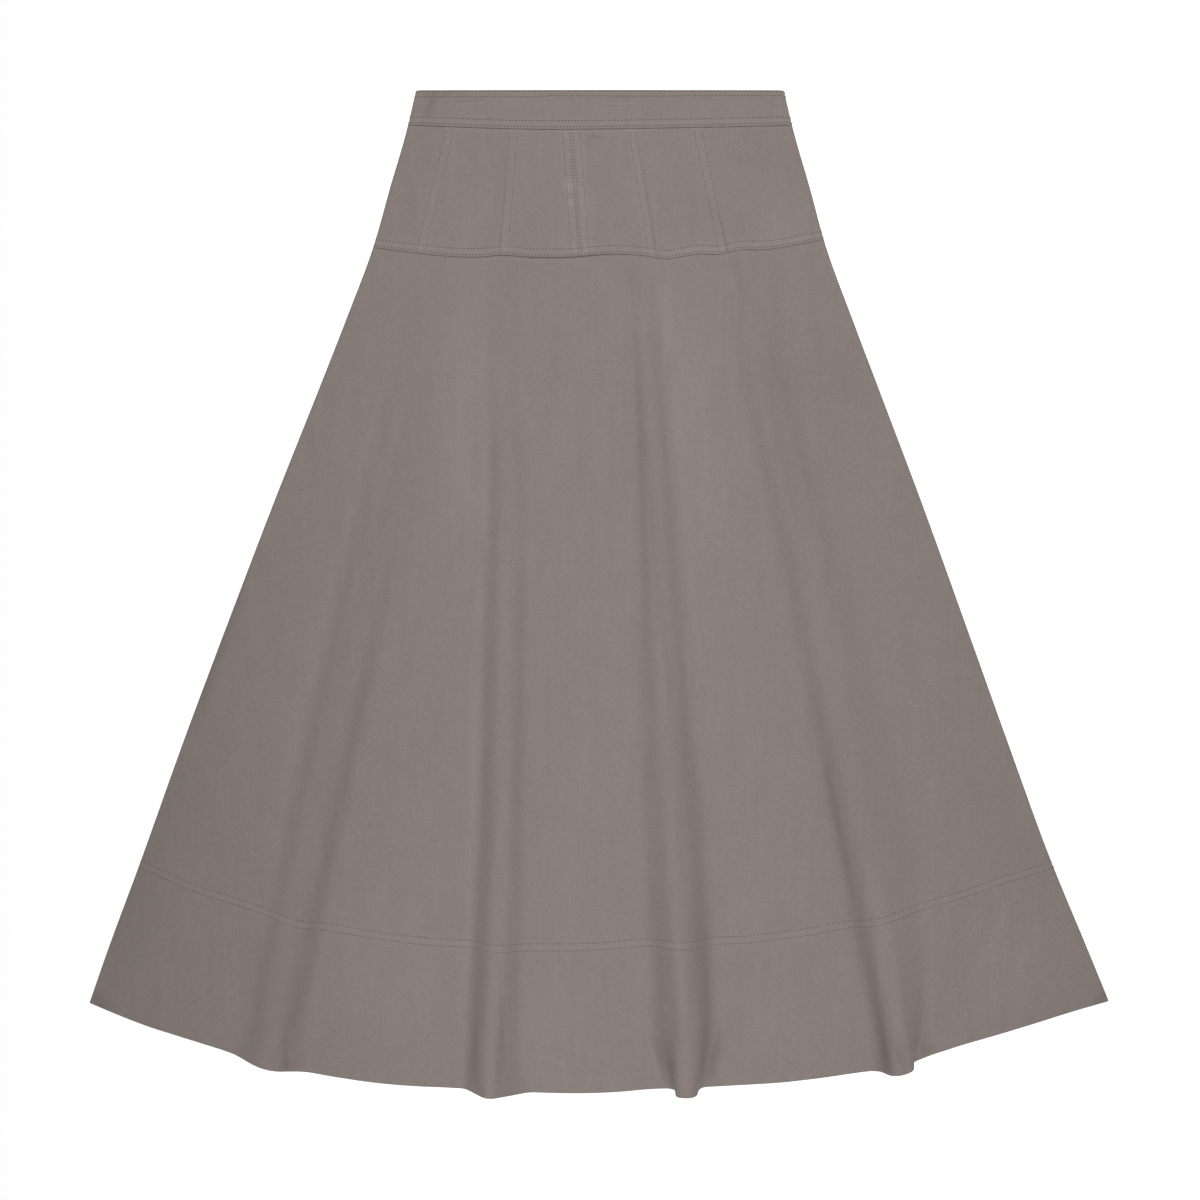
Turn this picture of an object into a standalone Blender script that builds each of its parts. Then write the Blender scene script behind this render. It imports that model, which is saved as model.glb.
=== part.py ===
"""A flared skirt with a front yoke of six panels, lying on its back with four soft flutes in the front.

Metres, with +X to the right across the front, +Y towards the waist and +Z up from the surface.
A place on the cloth is given as across, from the middle of the front, and down, from the waist edge.
"""

from collections import namedtuple

import bpy
import numpy

PART_NAME = "yoke_skirt"

# Size of the whole: down at the origin is half of the laid length, up to the lowest point of the hem.
ORIGIN_DOWN = 0.4577
ORIGIN_ACROSS = -0.00035

# Cloth walls. A sewn piece that is doubled or turned under has its layers in one wall.
SKIRT_WALL = 0.0012
YOKE_FRONT_WALL = 0.0018
YOKE_BACK_WALL = 0.0016
BAND_WALL = 0.0022

# Room between pieces, and the height of a front side edge that rolls down over the back piece.
SEAM_GAP = 0.0003
LAYER_GAP = 0.0003
EDGE_LIFT = 0.0008

# How far in from the side edge the front starts to roll down, and how far in the back piece ends.
SKIRT_ROLL = 0.0035
YOKE_ROLL = 0.0045
BAND_ROLL = 0.0055
SKIRT_TUCK = 0.0032
YOKE_TUCK = 0.0043
BAND_TUCK = 0.0052
HEM_TUCK = 0.0020

# Seams between the yoke panels lean out between these two places down.
YOKE_TOP_DOWN = 0.0385
YOKE_BOTTOM_DOWN = 0.1480

# Sampling of the cloth.
ROLL_STEPS = 3
FOLD_STEPS = 12
FLAT_STEPS = (7, 4, 11, 7, 9)
SKIRT_ROWS = 22
BACK_STEPS = 24
BACK_ROWS = 9
YOKE_STEPS = 10
YOKE_BACK_STEPS = 18
YOKE_ROWS = 5
BAND_STEPS = 16
BAND_ROWS = 3
LINE_PASSES = 8

Side = namedtuple("Side", "down left right")
Line = namedtuple("Line", "across down")
Seam = namedtuple("Seam", "top bottom")
Rise = namedtuple("Rise", "down height")
Fold = namedtuple(
    "Fold", "down crest left right height lean_left lean_right ground_left ground_right"
)
Swell = namedtuple("Swell", "down height")

# Half widths of the laid skirt.
SIDES = (
    Side(0.000, 0.1682, 0.1692),
    Side(0.010, 0.1706, 0.1715),
    Side(0.034, 0.1762, 0.1772),
    Side(0.088, 0.1918, 0.1926),
    Side(0.142, 0.2071, 0.2074),
    Side(0.210, 0.2325, 0.2322),
    Side(0.266, 0.2544, 0.2534),
    Side(0.376, 0.2981, 0.2949),
    Side(0.486, 0.3401, 0.3346),
    Side(0.596, 0.3813, 0.3739),
    Side(0.706, 0.4206, 0.4141),
    Side(0.790, 0.4516, 0.4488),
    Side(0.835, 0.4672, 0.4672),
)

# The seam under the waistband.
BAND_SEAM = (
    Line(-0.176, 0.0317),
    Line(-0.047, 0.0360),
    Line(0.014, 0.0354),
    Line(0.098, 0.0338),
    Line(0.176, 0.0320),
)

# The seam between yoke and skirt, which steps where the flutes start.
YOKE_SEAM = (
    Line(-0.2076, 0.1432),
    Line(-0.1672, 0.1486),
    Line(-0.1223, 0.1525),
    Line(-0.1070, 0.1523),
    Line(-0.0920, 0.1509),
    Line(-0.0609, 0.1529),
    Line(-0.0325, 0.1531),
    Line(0.0142, 0.1500),
    Line(0.0400, 0.1514),
    Line(0.0600, 0.1543),
    Line(0.0780, 0.1517),
    Line(0.0903, 0.1498),
    Line(0.1095, 0.1499),
    Line(0.1269, 0.1460),
    Line(0.1480, 0.1457),
    Line(0.2060, 0.1360),
)

# The same seam on the back.
BACK_YOKE_SEAM = (
    Line(-0.2076, 0.1434),
    Line(-0.1000, 0.1520),
    Line(0.0000, 0.1540),
    Line(0.1000, 0.1510),
    Line(0.2050, 0.1410),
)

# The lower edge of the hem.
HEM = (
    Line(-0.4675, 0.8343),
    Line(-0.4400, 0.8451),
    Line(-0.4165, 0.8530),
    Line(-0.3850, 0.8622),
    Line(-0.3450, 0.8751),
    Line(-0.3180, 0.8843),
    Line(-0.2950, 0.8905),
    Line(-0.2380, 0.9017),
    Line(-0.1850, 0.9077),
    Line(-0.1350, 0.9110),
    Line(-0.0600, 0.9150),
    Line(-0.0300, 0.9154),
    Line(0.0142, 0.9143),
    Line(0.0450, 0.9121),
    Line(0.1100, 0.9096),
    Line(0.1470, 0.9069),
    Line(0.1900, 0.9029),
    Line(0.2300, 0.8982),
    Line(0.2700, 0.8917),
    Line(0.3120, 0.8777),
    Line(0.3300, 0.8714),
    Line(0.3670, 0.8602),
    Line(0.4080, 0.8485),
    Line(0.4665, 0.8328),
)

# The five seams between the six yoke panels, left to right, by their across at either end.
PANEL_SEAMS = (
    Seam(-0.1416, -0.1680),
    Seam(-0.0829, -0.0916),
    Seam(-0.0260, -0.0180),
    Seam(0.0348, 0.0522),
    Seam(0.0948, 0.1172),
)

# How far the middle of the front lies above its side edges.
CROWN = (
    Rise(0.000, 0.0008),
    Rise(0.034, 0.0012),
    Rise(0.150, 0.0026),
    Rise(0.400, 0.0040),
    Rise(0.918, 0.0045),
)

# The flutes, left to right: how far each reaches to either side of its crest, and how upright its
# flanks are. A lean over 1 lets that flank hang over its foot. The cloth beside a flute can lie higher
# at one foot than at the other, which its two grounds tell.
FLUTES = (
    (
        Fold(0.146, -0.140, 0.021, 0.022, 0.0000, 0.0, 0.0, 0.0000, 0.0000),
        Fold(0.266, -0.172, 0.025, 0.034, 0.0035, 0.0, 0.0, 0.0000, 0.0000),
        Fold(0.339, -0.191, 0.027, 0.039, 0.0070, 0.0, 0.1, 0.0010, 0.0000),
        Fold(0.412, -0.207, 0.030, 0.042, 0.0095, 0.1, 0.1, 0.0025, 0.0000),
        Fold(0.486, -0.221, 0.031, 0.040, 0.0115, 0.2, 0.3, 0.0038, 0.0000),
        Fold(0.559, -0.236, 0.033, 0.038, 0.0135, 0.2, 0.3, 0.0052, 0.0000),
        Fold(0.632, -0.251, 0.035, 0.037, 0.0150, 0.2, 0.3, 0.0062, 0.0000),
        Fold(0.751, -0.276, 0.037, 0.036, 0.0170, 0.2, 0.2, 0.0068, 0.0000),
        Fold(0.816, -0.289, 0.035, 0.035, 0.0180, 0.2, 0.1, 0.0068, 0.0000),
        Fold(0.860, -0.2965, 0.034, 0.033, 0.0190, 0.1, 0.2, 0.0062, 0.0000),
        Fold(0.895, -0.303, 0.041, 0.042, 0.0210, -0.1, 0.1, 0.0040, 0.0000),
    ),
    (
        Fold(0.146, -0.090, 0.018, 0.018, 0.0000, 0.0, 0.0, 0.0000, 0.0000),
        Fold(0.266, -0.088, 0.020, 0.020, 0.0040, 0.1, 0.0, 0.0000, 0.0000),
        Fold(0.339, -0.085, 0.023, 0.023, 0.0070, 0.2, 0.0, 0.0000, 0.0005),
        Fold(0.486, -0.086, 0.027, 0.027, 0.0105, 0.1, 0.2, 0.0000, 0.0015),
        Fold(0.632, -0.088, 0.028, 0.028, 0.0135, 0.1, 0.2, 0.0000, 0.0024),
        Fold(0.751, -0.092, 0.029, 0.029, 0.0160, 0.1, 0.1, 0.0000, 0.0036),
        Fold(0.830, -0.096, 0.030, 0.030, 0.0190, 0.1, 0.1, 0.0000, 0.0040),
        Fold(0.880, -0.099, 0.028, 0.031, 0.0215, 0.3, -0.1, 0.0000, 0.0025),
        Fold(0.918, -0.1000, 0.026, 0.040, 0.0268, -0.2, -0.2, 0.0000, 0.0000),
    ),
    (
        Fold(0.146, 0.037, 0.018, 0.018, 0.0000, 0.0, 0.0, 0.0000, 0.0000),
        Fold(0.192, 0.040, 0.019, 0.019, 0.0026, 0.1, 0.0, 0.0000, 0.0000),
        Fold(0.266, 0.0445, 0.020, 0.019, 0.0065, 0.2, 0.1, 0.0000, 0.0008),
        Fold(0.412, 0.053, 0.024, 0.024, 0.0095, 0.2, 0.1, 0.0000, 0.0010),
        Fold(0.559, 0.0605, 0.030, 0.031, 0.0125, 0.0, 0.2, 0.0000, 0.0008),
        Fold(0.696, 0.0700, 0.036, 0.037, 0.0175, 0.0, 0.1, 0.0000, 0.0000),
        Fold(0.780, 0.0745, 0.035, 0.036, 0.0215, 0.0, 0.2, 0.0000, 0.0000),
        Fold(0.870, 0.0785, 0.032, 0.033, 0.0260, 0.2, 0.4, 0.0000, 0.0000),
        Fold(0.914, 0.0790, 0.0200, 0.0190, 0.0325, 1.3, 0.7, 0.0000, 0.0000),
    ),
    (
        Fold(0.146, 0.122, 0.024, 0.024, 0.0000, 0.0, 0.0, 0.0000, 0.0000),
        Fold(0.192, 0.133, 0.027, 0.030, 0.0030, 0.1, 0.0, 0.0000, 0.0000),
        Fold(0.266, 0.150, 0.031, 0.034, 0.0080, 0.1, 0.0, 0.0000, 0.0000),
        Fold(0.412, 0.185, 0.035, 0.042, 0.0115, 0.2, 0.0, 0.0000, 0.0008),
        Fold(0.559, 0.217, 0.040, 0.048, 0.0145, 0.2, -0.1, 0.0000, 0.0015),
        Fold(0.632, 0.232, 0.045, 0.050, 0.0180, 0.5, -0.2, 0.0000, 0.0030),
        Fold(0.696, 0.244, 0.043, 0.048, 0.0190, 0.5, -0.3, 0.0000, 0.0045),
        Fold(0.751, 0.255, 0.040, 0.040, 0.0200, 0.3, -0.2, 0.0000, 0.0065),
        Fold(0.816, 0.2655, 0.034, 0.036, 0.0220, 0.3, -0.1, 0.0000, 0.0075),
        Fold(0.860, 0.2715, 0.031, 0.029, 0.0245, 0.5, 0.2, 0.0000, 0.0050),
        Fold(0.895, 0.2735, 0.030, 0.0185, 0.0300, 0.5, 1.3, 0.0000, 0.0005),
    ),
)

# The low swell of the cloth between flutes, from the left side to the right side.
SWELLS = (
    (Swell(0.146, 0.0000), Swell(0.500, 0.0015), Swell(0.918, 0.0030)),
    (Swell(0.146, 0.0000), Swell(0.500, 0.0018), Swell(0.918, 0.0026)),
    (Swell(0.146, 0.0000), Swell(0.500, 0.0012), Swell(0.918, 0.0020)),
    (Swell(0.146, 0.0000), Swell(0.500, 0.0022), Swell(0.918, 0.0030)),
    (Swell(0.146, 0.0000), Swell(0.500, 0.0020), Swell(0.918, 0.0034)),
)

CLOTH_COLOUR = (0.235, 0.205, 0.192, 1.0)
CLOTH_ROUGHNESS = 0.92


def clear_scene():
    for thing in list(bpy.data.objects):
        bpy.data.objects.remove(thing, do_unlink=True)


def new_collection():
    collection = bpy.data.collections.new(PART_NAME)
    bpy.context.scene.collection.children.link(collection)
    return collection


def cloth_material(name):
    material = bpy.data.materials.new(name + "_twill")
    material.use_nodes = True
    shader = material.node_tree.nodes["Principled BSDF"]
    shader.inputs["Base Color"].default_value = CLOTH_COLOUR
    shader.inputs["Roughness"].default_value = CLOTH_ROUGHNESS
    return material


def curve(rows, known_name, value_name):
    """A smooth curve through one column of a table, held level past both ends."""
    known = numpy.array([getattr(row, known_name) for row in rows])
    values = numpy.array([getattr(row, value_name) for row in rows])
    slopes = numpy.gradient(values, known)

    def value_at(place):
        place = numpy.clip(place, known[0], known[-1])
        index = numpy.clip(numpy.searchsorted(known, place) - 1, 0, len(known) - 2)
        span = known[index + 1] - known[index]
        share = (place - known[index]) / span
        rest = 1 - share
        start = values[index] * (1 + 2 * share) + slopes[index] * span * share
        end = values[index + 1] * (3 - 2 * share) - slopes[index + 1] * span * rest
        return start * rest**2 + end * share**2

    return value_at


LEFT_HALF = curve(SIDES, "down", "left")
RIGHT_HALF = curve(SIDES, "down", "right")
BAND_SEAM_DOWN = curve(BAND_SEAM, "across", "down")
YOKE_SEAM_DOWN = curve(YOKE_SEAM, "across", "down")
BACK_YOKE_SEAM_DOWN = curve(BACK_YOKE_SEAM, "across", "down")
HEM_DOWN = curve(HEM, "across", "down")
CROWN_HEIGHT = curve(CROWN, "down", "height")


def side_line(side, inset=0.0):
    """The left (-1) or right (1) side edge, moved in by inset."""

    def across_at(down):
        half = LEFT_HALF(down) if side < 0 else RIGHT_HALF(down)
        return side * (half - inset)

    return across_at


def panel_seam(seam, shift):
    def across_at(down):
        share = (down - YOKE_TOP_DOWN) / (YOKE_BOTTOM_DOWN - YOKE_TOP_DOWN)
        return seam.top + (seam.bottom - seam.top) * share + shift

    return across_at


def level_line(down):
    def down_at(across):
        return numpy.full_like(across, down)

    return down_at


def moved_line(line, shift):
    def down_at(across):
        return line(across) + shift

    return down_at


def flat_stretch(left, right, steps, with_left=False, with_right=False):
    """Cloth between two lines. A neighbouring stretch has the end columns left out."""
    shares = numpy.linspace(0, 1, steps + 1)
    shares = shares[0 if with_left else 1 : None if with_right else -1]

    def places(down):
        across = left(down) + (right(down) - left(down)) * shares
        return across, 0 * across, numpy.ones_like(across)

    return places


def between_flutes(left, right, steps, swell, left_ground, right_ground):
    """Cloth between the feet of two flutes, which goes from one ground to the other with a swell."""
    shares = numpy.linspace(0, 1, steps + 1)[1:-1]

    def places(down):
        across = left(down) + (right(down) - left(down)) * shares
        ease = shares**2 * (3 - 2 * shares)
        height = left_ground(down) + (right_ground(down) - left_ground(down)) * ease
        height = height + swell(down) * numpy.sin(numpy.pi * shares) ** 2
        return across, height, numpy.ones_like(across)

    return places


def rolled_side(side, roll, steps):
    """The side edge of a front piece, rolling down over the back piece. The last value is its rise."""
    angles = numpy.linspace(0, numpy.pi / 2, steps + 1)
    if side > 0:
        angles = angles[::-1]

    def places(down):
        across = side_line(side)(down) - side * roll * (1 - numpy.cos(angles))
        return across, 0 * across, numpy.sin(angles) + 0 * across

    return places


class Flute:
    """A fold that stands up in the front. Turn runs from 0 at its left foot to 1 at its right foot."""

    def __init__(self, rows):
        self.crest = curve(rows, "down", "crest")
        self.left = curve(rows, "down", "left")
        self.right = curve(rows, "down", "right")
        self.height = curve(rows, "down", "height")
        self.lean_left = curve(rows, "down", "lean_left")
        self.lean_right = curve(rows, "down", "lean_right")
        self.ground_left = curve(rows, "down", "ground_left")
        self.ground_right = curve(rows, "down", "ground_right")

    def foot(self, side):
        def across_at(down):
            reach = self.left(down) if side < 0 else self.right(down)
            return self.crest(down) + side * reach

        return across_at

    def stretch(self, steps):
        turns = numpy.linspace(0, 1, steps + 1)

        def places(down):
            on_left = turns < 0.5
            lean = numpy.where(on_left, self.lean_left(down), self.lean_right(down))
            reach = numpy.where(on_left, self.left(down), self.right(down))
            bend = lean * numpy.sin(4 * numpy.pi * turns) / (4 * numpy.pi)
            across = self.crest(down) + 2 * reach * (turns - 0.5 + bend)
            ground = numpy.where(on_left, self.ground_left(down), self.ground_right(down))
            climb = (1 - numpy.cos(2 * numpy.pi * turns)) / 2
            height = ground + (self.height(down) - ground) * climb
            return across, height, numpy.ones_like(across)

        return places


def crown(across, down):
    half = numpy.where(across < 0, LEFT_HALF(down), RIGHT_HALF(down))
    return CROWN_HEIGHT(down) * (1 - numpy.clip(across / half, -1, 1) ** 2)


def lay(stretches, top_line, bottom_line, rows, base, crowned):
    """Lays the stretches side by side from top line to bottom line. Returns across, down and height."""
    shares = numpy.linspace(0, 1, rows + 1)[:, None]
    grids = []
    for places in stretches:
        top = top_line(numpy.zeros(1))
        bottom = bottom_line(numpy.zeros(1))
        for _ in range(LINE_PASSES):
            top = top_line(places(top)[0])
            bottom = bottom_line(places(bottom)[0])
        down = top + (bottom - top) * shares
        across, height, rise = places(down)
        level = base + (crown(across, down) if crowned else 0)
        height = EDGE_LIFT + (level - EDGE_LIFT) * rise + height if crowned else level + height
        grids.append(numpy.stack([across, down + 0 * across, height], axis=-1))
    return numpy.concatenate(grids, axis=1)


def build_cloth(collection, name, grid, wall):
    """A sheet through the grid, given its wall on the underside."""
    rows, columns = grid.shape[:2]
    across, down, height = (grid[..., axis].ravel() for axis in range(3))
    points = numpy.stack([across - ORIGIN_ACROSS, ORIGIN_DOWN - down, height], axis=-1)
    faces = []
    for row in range(rows - 1):
        for column in range(columns - 1):
            corner = row * columns + column
            faces.append((corner, corner + columns, corner + columns + 1, corner + 1))
    mesh = bpy.data.meshes.new(name)
    mesh.from_pydata(points.tolist(), [], faces)
    mesh.shade_smooth()
    cloth = bpy.data.objects.new(name, mesh)
    cloth.data.materials.append(cloth_material(name))
    collection.objects.link(cloth)
    solidify = cloth.modifiers.new("cloth wall", "SOLIDIFY")
    solidify.thickness = wall
    solidify.offset = -1
    solidify.use_even_offset = True
    return cloth


def front_stretches(roll, steps):
    """One plain front piece from side to side, rolled down at both."""
    return [
        rolled_side(-1, roll, ROLL_STEPS),
        flat_stretch(side_line(-1, roll), side_line(1, roll), steps),
        rolled_side(1, roll, ROLL_STEPS),
    ]


def back_stretches(tuck, steps):
    return [flat_stretch(side_line(-1, tuck), side_line(1, tuck), steps, True, True)]


def build_band(collection):
    bottom = moved_line(BAND_SEAM_DOWN, -SEAM_GAP / 2)
    front = lay(
        front_stretches(BAND_ROLL, BAND_STEPS),
        level_line(0.0),
        bottom,
        BAND_ROWS,
        2 * BAND_WALL + LAYER_GAP,
        True,
    )
    back = lay(
        back_stretches(BAND_TUCK, BAND_STEPS), level_line(0.0), bottom, BAND_ROWS, BAND_WALL, False
    )
    build_cloth(collection, "waistband_front", front, BAND_WALL)
    build_cloth(collection, "waistband_back", back, BAND_WALL)


def yoke_panel_stretches(number):
    """The stretches of one yoke panel. The outer two also have a rolled side edge."""
    first = number == 0
    last = number == len(PANEL_SEAMS)
    left = side_line(-1, YOKE_ROLL) if first else panel_seam(PANEL_SEAMS[number - 1], SEAM_GAP / 2)
    right = side_line(1, YOKE_ROLL) if last else panel_seam(PANEL_SEAMS[number], -SEAM_GAP / 2)
    stretches = [flat_stretch(left, right, YOKE_STEPS, not first, not last)]
    if first:
        stretches.insert(0, rolled_side(-1, YOKE_ROLL, ROLL_STEPS))
    if last:
        stretches.append(rolled_side(1, YOKE_ROLL, ROLL_STEPS))
    return stretches


def build_yoke(collection):
    top = moved_line(BAND_SEAM_DOWN, SEAM_GAP / 2)
    bottom = moved_line(YOKE_SEAM_DOWN, -SEAM_GAP / 2)
    base = YOKE_BACK_WALL + LAYER_GAP + YOKE_FRONT_WALL
    for number in range(len(PANEL_SEAMS) + 1):
        panel = lay(yoke_panel_stretches(number), top, bottom, YOKE_ROWS, base, True)
        build_cloth(collection, f"yoke_front_{number + 1}", panel, YOKE_FRONT_WALL)
    back_bottom = moved_line(BACK_YOKE_SEAM_DOWN, -SEAM_GAP / 2)
    back = lay(
        back_stretches(YOKE_TUCK, YOKE_BACK_STEPS), top, back_bottom, YOKE_ROWS, YOKE_BACK_WALL, False
    )
    build_cloth(collection, "yoke_back", back, YOKE_BACK_WALL)


def build_skirt(collection):
    top = moved_line(YOKE_SEAM_DOWN, SEAM_GAP / 2)
    flutes = [Flute(rows) for rows in FLUTES]
    swells = [curve(rows, "down", "height") for rows in SWELLS]
    lefts = [side_line(-1, SKIRT_ROLL)] + [flute.foot(1) for flute in flutes]
    rights = [flute.foot(-1) for flute in flutes] + [side_line(1, SKIRT_ROLL)]
    left_grounds = [level_line(0.0)] + [flute.ground_right for flute in flutes]
    right_grounds = [flute.ground_left for flute in flutes] + [level_line(0.0)]
    stretches = [rolled_side(-1, SKIRT_ROLL, ROLL_STEPS)]
    for number, swell in enumerate(swells):
        grounds = left_grounds[number], right_grounds[number]
        ends = lefts[number], rights[number]
        stretches.append(between_flutes(*ends, FLAT_STEPS[number], swell, *grounds))
        if number < len(flutes):
            stretches.append(flutes[number].stretch(FOLD_STEPS))
    stretches.append(rolled_side(1, SKIRT_ROLL, ROLL_STEPS))
    base = 2 * SKIRT_WALL + LAYER_GAP
    front = lay(stretches, top, HEM_DOWN, SKIRT_ROWS, base, True)
    back_top = moved_line(BACK_YOKE_SEAM_DOWN, SEAM_GAP / 2)
    back_hem = moved_line(HEM_DOWN, -HEM_TUCK)
    back = lay(
        back_stretches(SKIRT_TUCK, BACK_STEPS), back_top, back_hem, BACK_ROWS, SKIRT_WALL, False
    )
    build_cloth(collection, "skirt_front", front, SKIRT_WALL)
    build_cloth(collection, "skirt_back", back, SKIRT_WALL)


def main():
    clear_scene()
    collection = new_collection()
    build_band(collection)
    build_yoke(collection)
    build_skirt(collection)


main()
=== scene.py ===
"""The yoke skirt laid flat: fine cloth, seams, stitches, twill, floor, light and camera.

Metres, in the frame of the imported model. Across runs from the middle of the front to the right,
and down from the waist edge to the hem, as in the part's source, whose sizes are repeated here.
"""

from collections import namedtuple

import bpy
import numpy
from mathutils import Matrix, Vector


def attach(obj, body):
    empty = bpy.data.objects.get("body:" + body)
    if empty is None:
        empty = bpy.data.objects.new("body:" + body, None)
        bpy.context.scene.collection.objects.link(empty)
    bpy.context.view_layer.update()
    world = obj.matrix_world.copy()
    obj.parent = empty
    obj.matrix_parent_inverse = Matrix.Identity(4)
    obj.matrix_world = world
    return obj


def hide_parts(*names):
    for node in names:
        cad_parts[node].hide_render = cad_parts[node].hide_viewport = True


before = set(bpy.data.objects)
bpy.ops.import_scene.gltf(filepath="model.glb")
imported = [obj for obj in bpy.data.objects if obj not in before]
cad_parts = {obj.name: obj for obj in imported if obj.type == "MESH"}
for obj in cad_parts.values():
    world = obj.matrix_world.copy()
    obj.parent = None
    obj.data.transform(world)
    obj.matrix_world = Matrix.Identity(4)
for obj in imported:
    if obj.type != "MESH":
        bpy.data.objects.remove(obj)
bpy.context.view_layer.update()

# Sizes repeated from the part's source.
ORIGIN_DOWN = 0.4577
ORIGIN_ACROSS = -0.00035
SKIRT_WALL = 0.0012
YOKE_FRONT_WALL = 0.0018
YOKE_BACK_WALL = 0.0016
BAND_WALL = 0.0022
SEAM_GAP = 0.0003
LAYER_GAP = 0.0003
SKIRT_BASE = 2 * SKIRT_WALL + LAYER_GAP
YOKE_BASE = YOKE_BACK_WALL + LAYER_GAP + YOKE_FRONT_WALL
BAND_BASE = 2 * BAND_WALL + LAYER_GAP
EDGE_LIFT = 0.0008
SKIRT_ROLL = 0.0035
YOKE_ROLL = 0.0045
BAND_ROLL = 0.0055
SKIRT_TUCK = 0.0032
YOKE_TUCK = 0.0043
BAND_TUCK = 0.0052
HEM_TUCK = 0.0020
YOKE_TOP_DOWN = 0.0385
YOKE_BOTTOM_DOWN = 0.1480
LINE_PASSES = 8

# Sampling of the fine cloth.
ROLL_STEPS = 4
FOLD_STEPS = 24
FLAT_STEPS = (30, 13, 30, 26, 34)
BODY_ROWS = 120
HEM_STRIP_ROWS = 10
HEM_ROWS = 36
YOKE_STEPS = 44
YOKE_ROWS = 64
BAND_STEPS = 260
BAND_ROWS = 36
BACK_STEPS = 90
BACK_SKIRT_ROWS = 40
BACK_YOKE_ROWS = 8
BACK_BAND_ROWS = 6
END_CROWDING = 0.82
ROW_STEPS = 1500
SEAM_ROW_STEPS = 120
PROBE = 0.0002

Side = namedtuple("Side", "down left right")
Line = namedtuple("Line", "across down")
Seam = namedtuple("Seam", "top bottom")
Rise = namedtuple("Rise", "down height")
FOLD_PARTS = "down crest left right height lean_left lean_right ground_left ground_right"
Fold = namedtuple("Fold", FOLD_PARTS, defaults=(0.0, 0.0, 0.0, 0.0))
Crease = namedtuple("Crease", "across down across_end down_end width height")
Pair = namedtuple("Pair", "seam rows side line_from groove shade")
Trim = namedtuple("Trim", "share offset width")


def table(kind, *rows):
    """Rows of one kind, each given as plain numbers."""
    return [kind(*row) for row in rows]


SIDES = table(
    Side,
    (0.0, 0.1682, 0.1692), (0.01, 0.1706, 0.1715), (0.034, 0.1762, 0.1772),
    (0.088, 0.1918, 0.1926), (0.142, 0.2071, 0.2074), (0.21, 0.2325, 0.2322),
    (0.266, 0.2544, 0.2534), (0.376, 0.2981, 0.2949), (0.486, 0.3401, 0.3346),
    (0.596, 0.3813, 0.3739), (0.706, 0.4206, 0.4141), (0.79, 0.4516, 0.4488),
    (0.835, 0.4672, 0.4672),
)

BAND_SEAM = table(
    Line,
    (-0.176, 0.0317), (-0.047, 0.036), (0.014, 0.0354), (0.098, 0.0338), (0.176, 0.032),
)

YOKE_SEAM = table(
    Line,
    (-0.2076, 0.1432), (-0.1672, 0.1486), (-0.1223, 0.1525), (-0.107, 0.1523), (-0.092, 0.1509),
    (-0.0609, 0.1529), (-0.0325, 0.1531), (0.0142, 0.15), (0.04, 0.1514), (0.06, 0.1543),
    (0.078, 0.1517), (0.0903, 0.1498), (0.1095, 0.1499), (0.1269, 0.146), (0.148, 0.1457),
    (0.206, 0.136),
)

BACK_YOKE_SEAM = table(
    Line,
    (-0.2076, 0.1434), (-0.1, 0.152), (0.0, 0.154), (0.1, 0.151), (0.205, 0.141),
)

HEM = table(
    Line,
    (-0.4675, 0.8343), (-0.44, 0.8451), (-0.4165, 0.853), (-0.385, 0.8622), (-0.345, 0.8751),
    (-0.318, 0.8843), (-0.295, 0.8905), (-0.238, 0.9017), (-0.185, 0.9077), (-0.135, 0.911),
    (-0.06, 0.915), (-0.03, 0.9154), (0.0142, 0.9143), (0.045, 0.9121), (0.11, 0.9096),
    (0.147, 0.9069), (0.19, 0.9029), (0.23, 0.8982), (0.27, 0.8917), (0.312, 0.8777),
    (0.33, 0.8714), (0.367, 0.8602), (0.408, 0.8485), (0.4665, 0.8328),
)

# The upper of the two rows of stitches that hold the hem.
HEM_ROW = table(
    Line,
    (-0.427, 0.7015), (-0.364, 0.727), (-0.33, 0.737), (-0.261, 0.7583), (-0.235, 0.7633),
    (-0.21, 0.7673), (-0.18, 0.7711), (-0.145, 0.775), (-0.11, 0.7764), (-0.072, 0.7785),
    (-0.045, 0.7786), (-0.009, 0.7782), (0.05, 0.7746), (0.1, 0.7734), (0.129, 0.7727),
    (0.165, 0.768), (0.195, 0.7645), (0.225, 0.7587), (0.324, 0.7324), (0.367, 0.7184),
    (0.399, 0.7094), (0.42, 0.7025),
)

BAND_TOP_ROW = table(
    Line,
    (-0.17, 0.0058), (-0.11, 0.006), (-0.075, 0.0061), (-0.055, 0.0062), (-0.046, 0.0054),
    (-0.03, 0.0054), (0.06, 0.0056), (0.1, 0.005), (0.17, 0.005),
)

PANEL_SEAMS = table(
    Seam,
    (-0.1416, -0.168), (-0.0829, -0.0916), (-0.026, -0.018), (0.0348, 0.0522), (0.0948, 0.1172),
)

CROWN = table(
    Rise,
    (0.0, 0.0008), (0.034, 0.0012), (0.15, 0.0026), (0.4, 0.004), (0.918, 0.0045),
)

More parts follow.
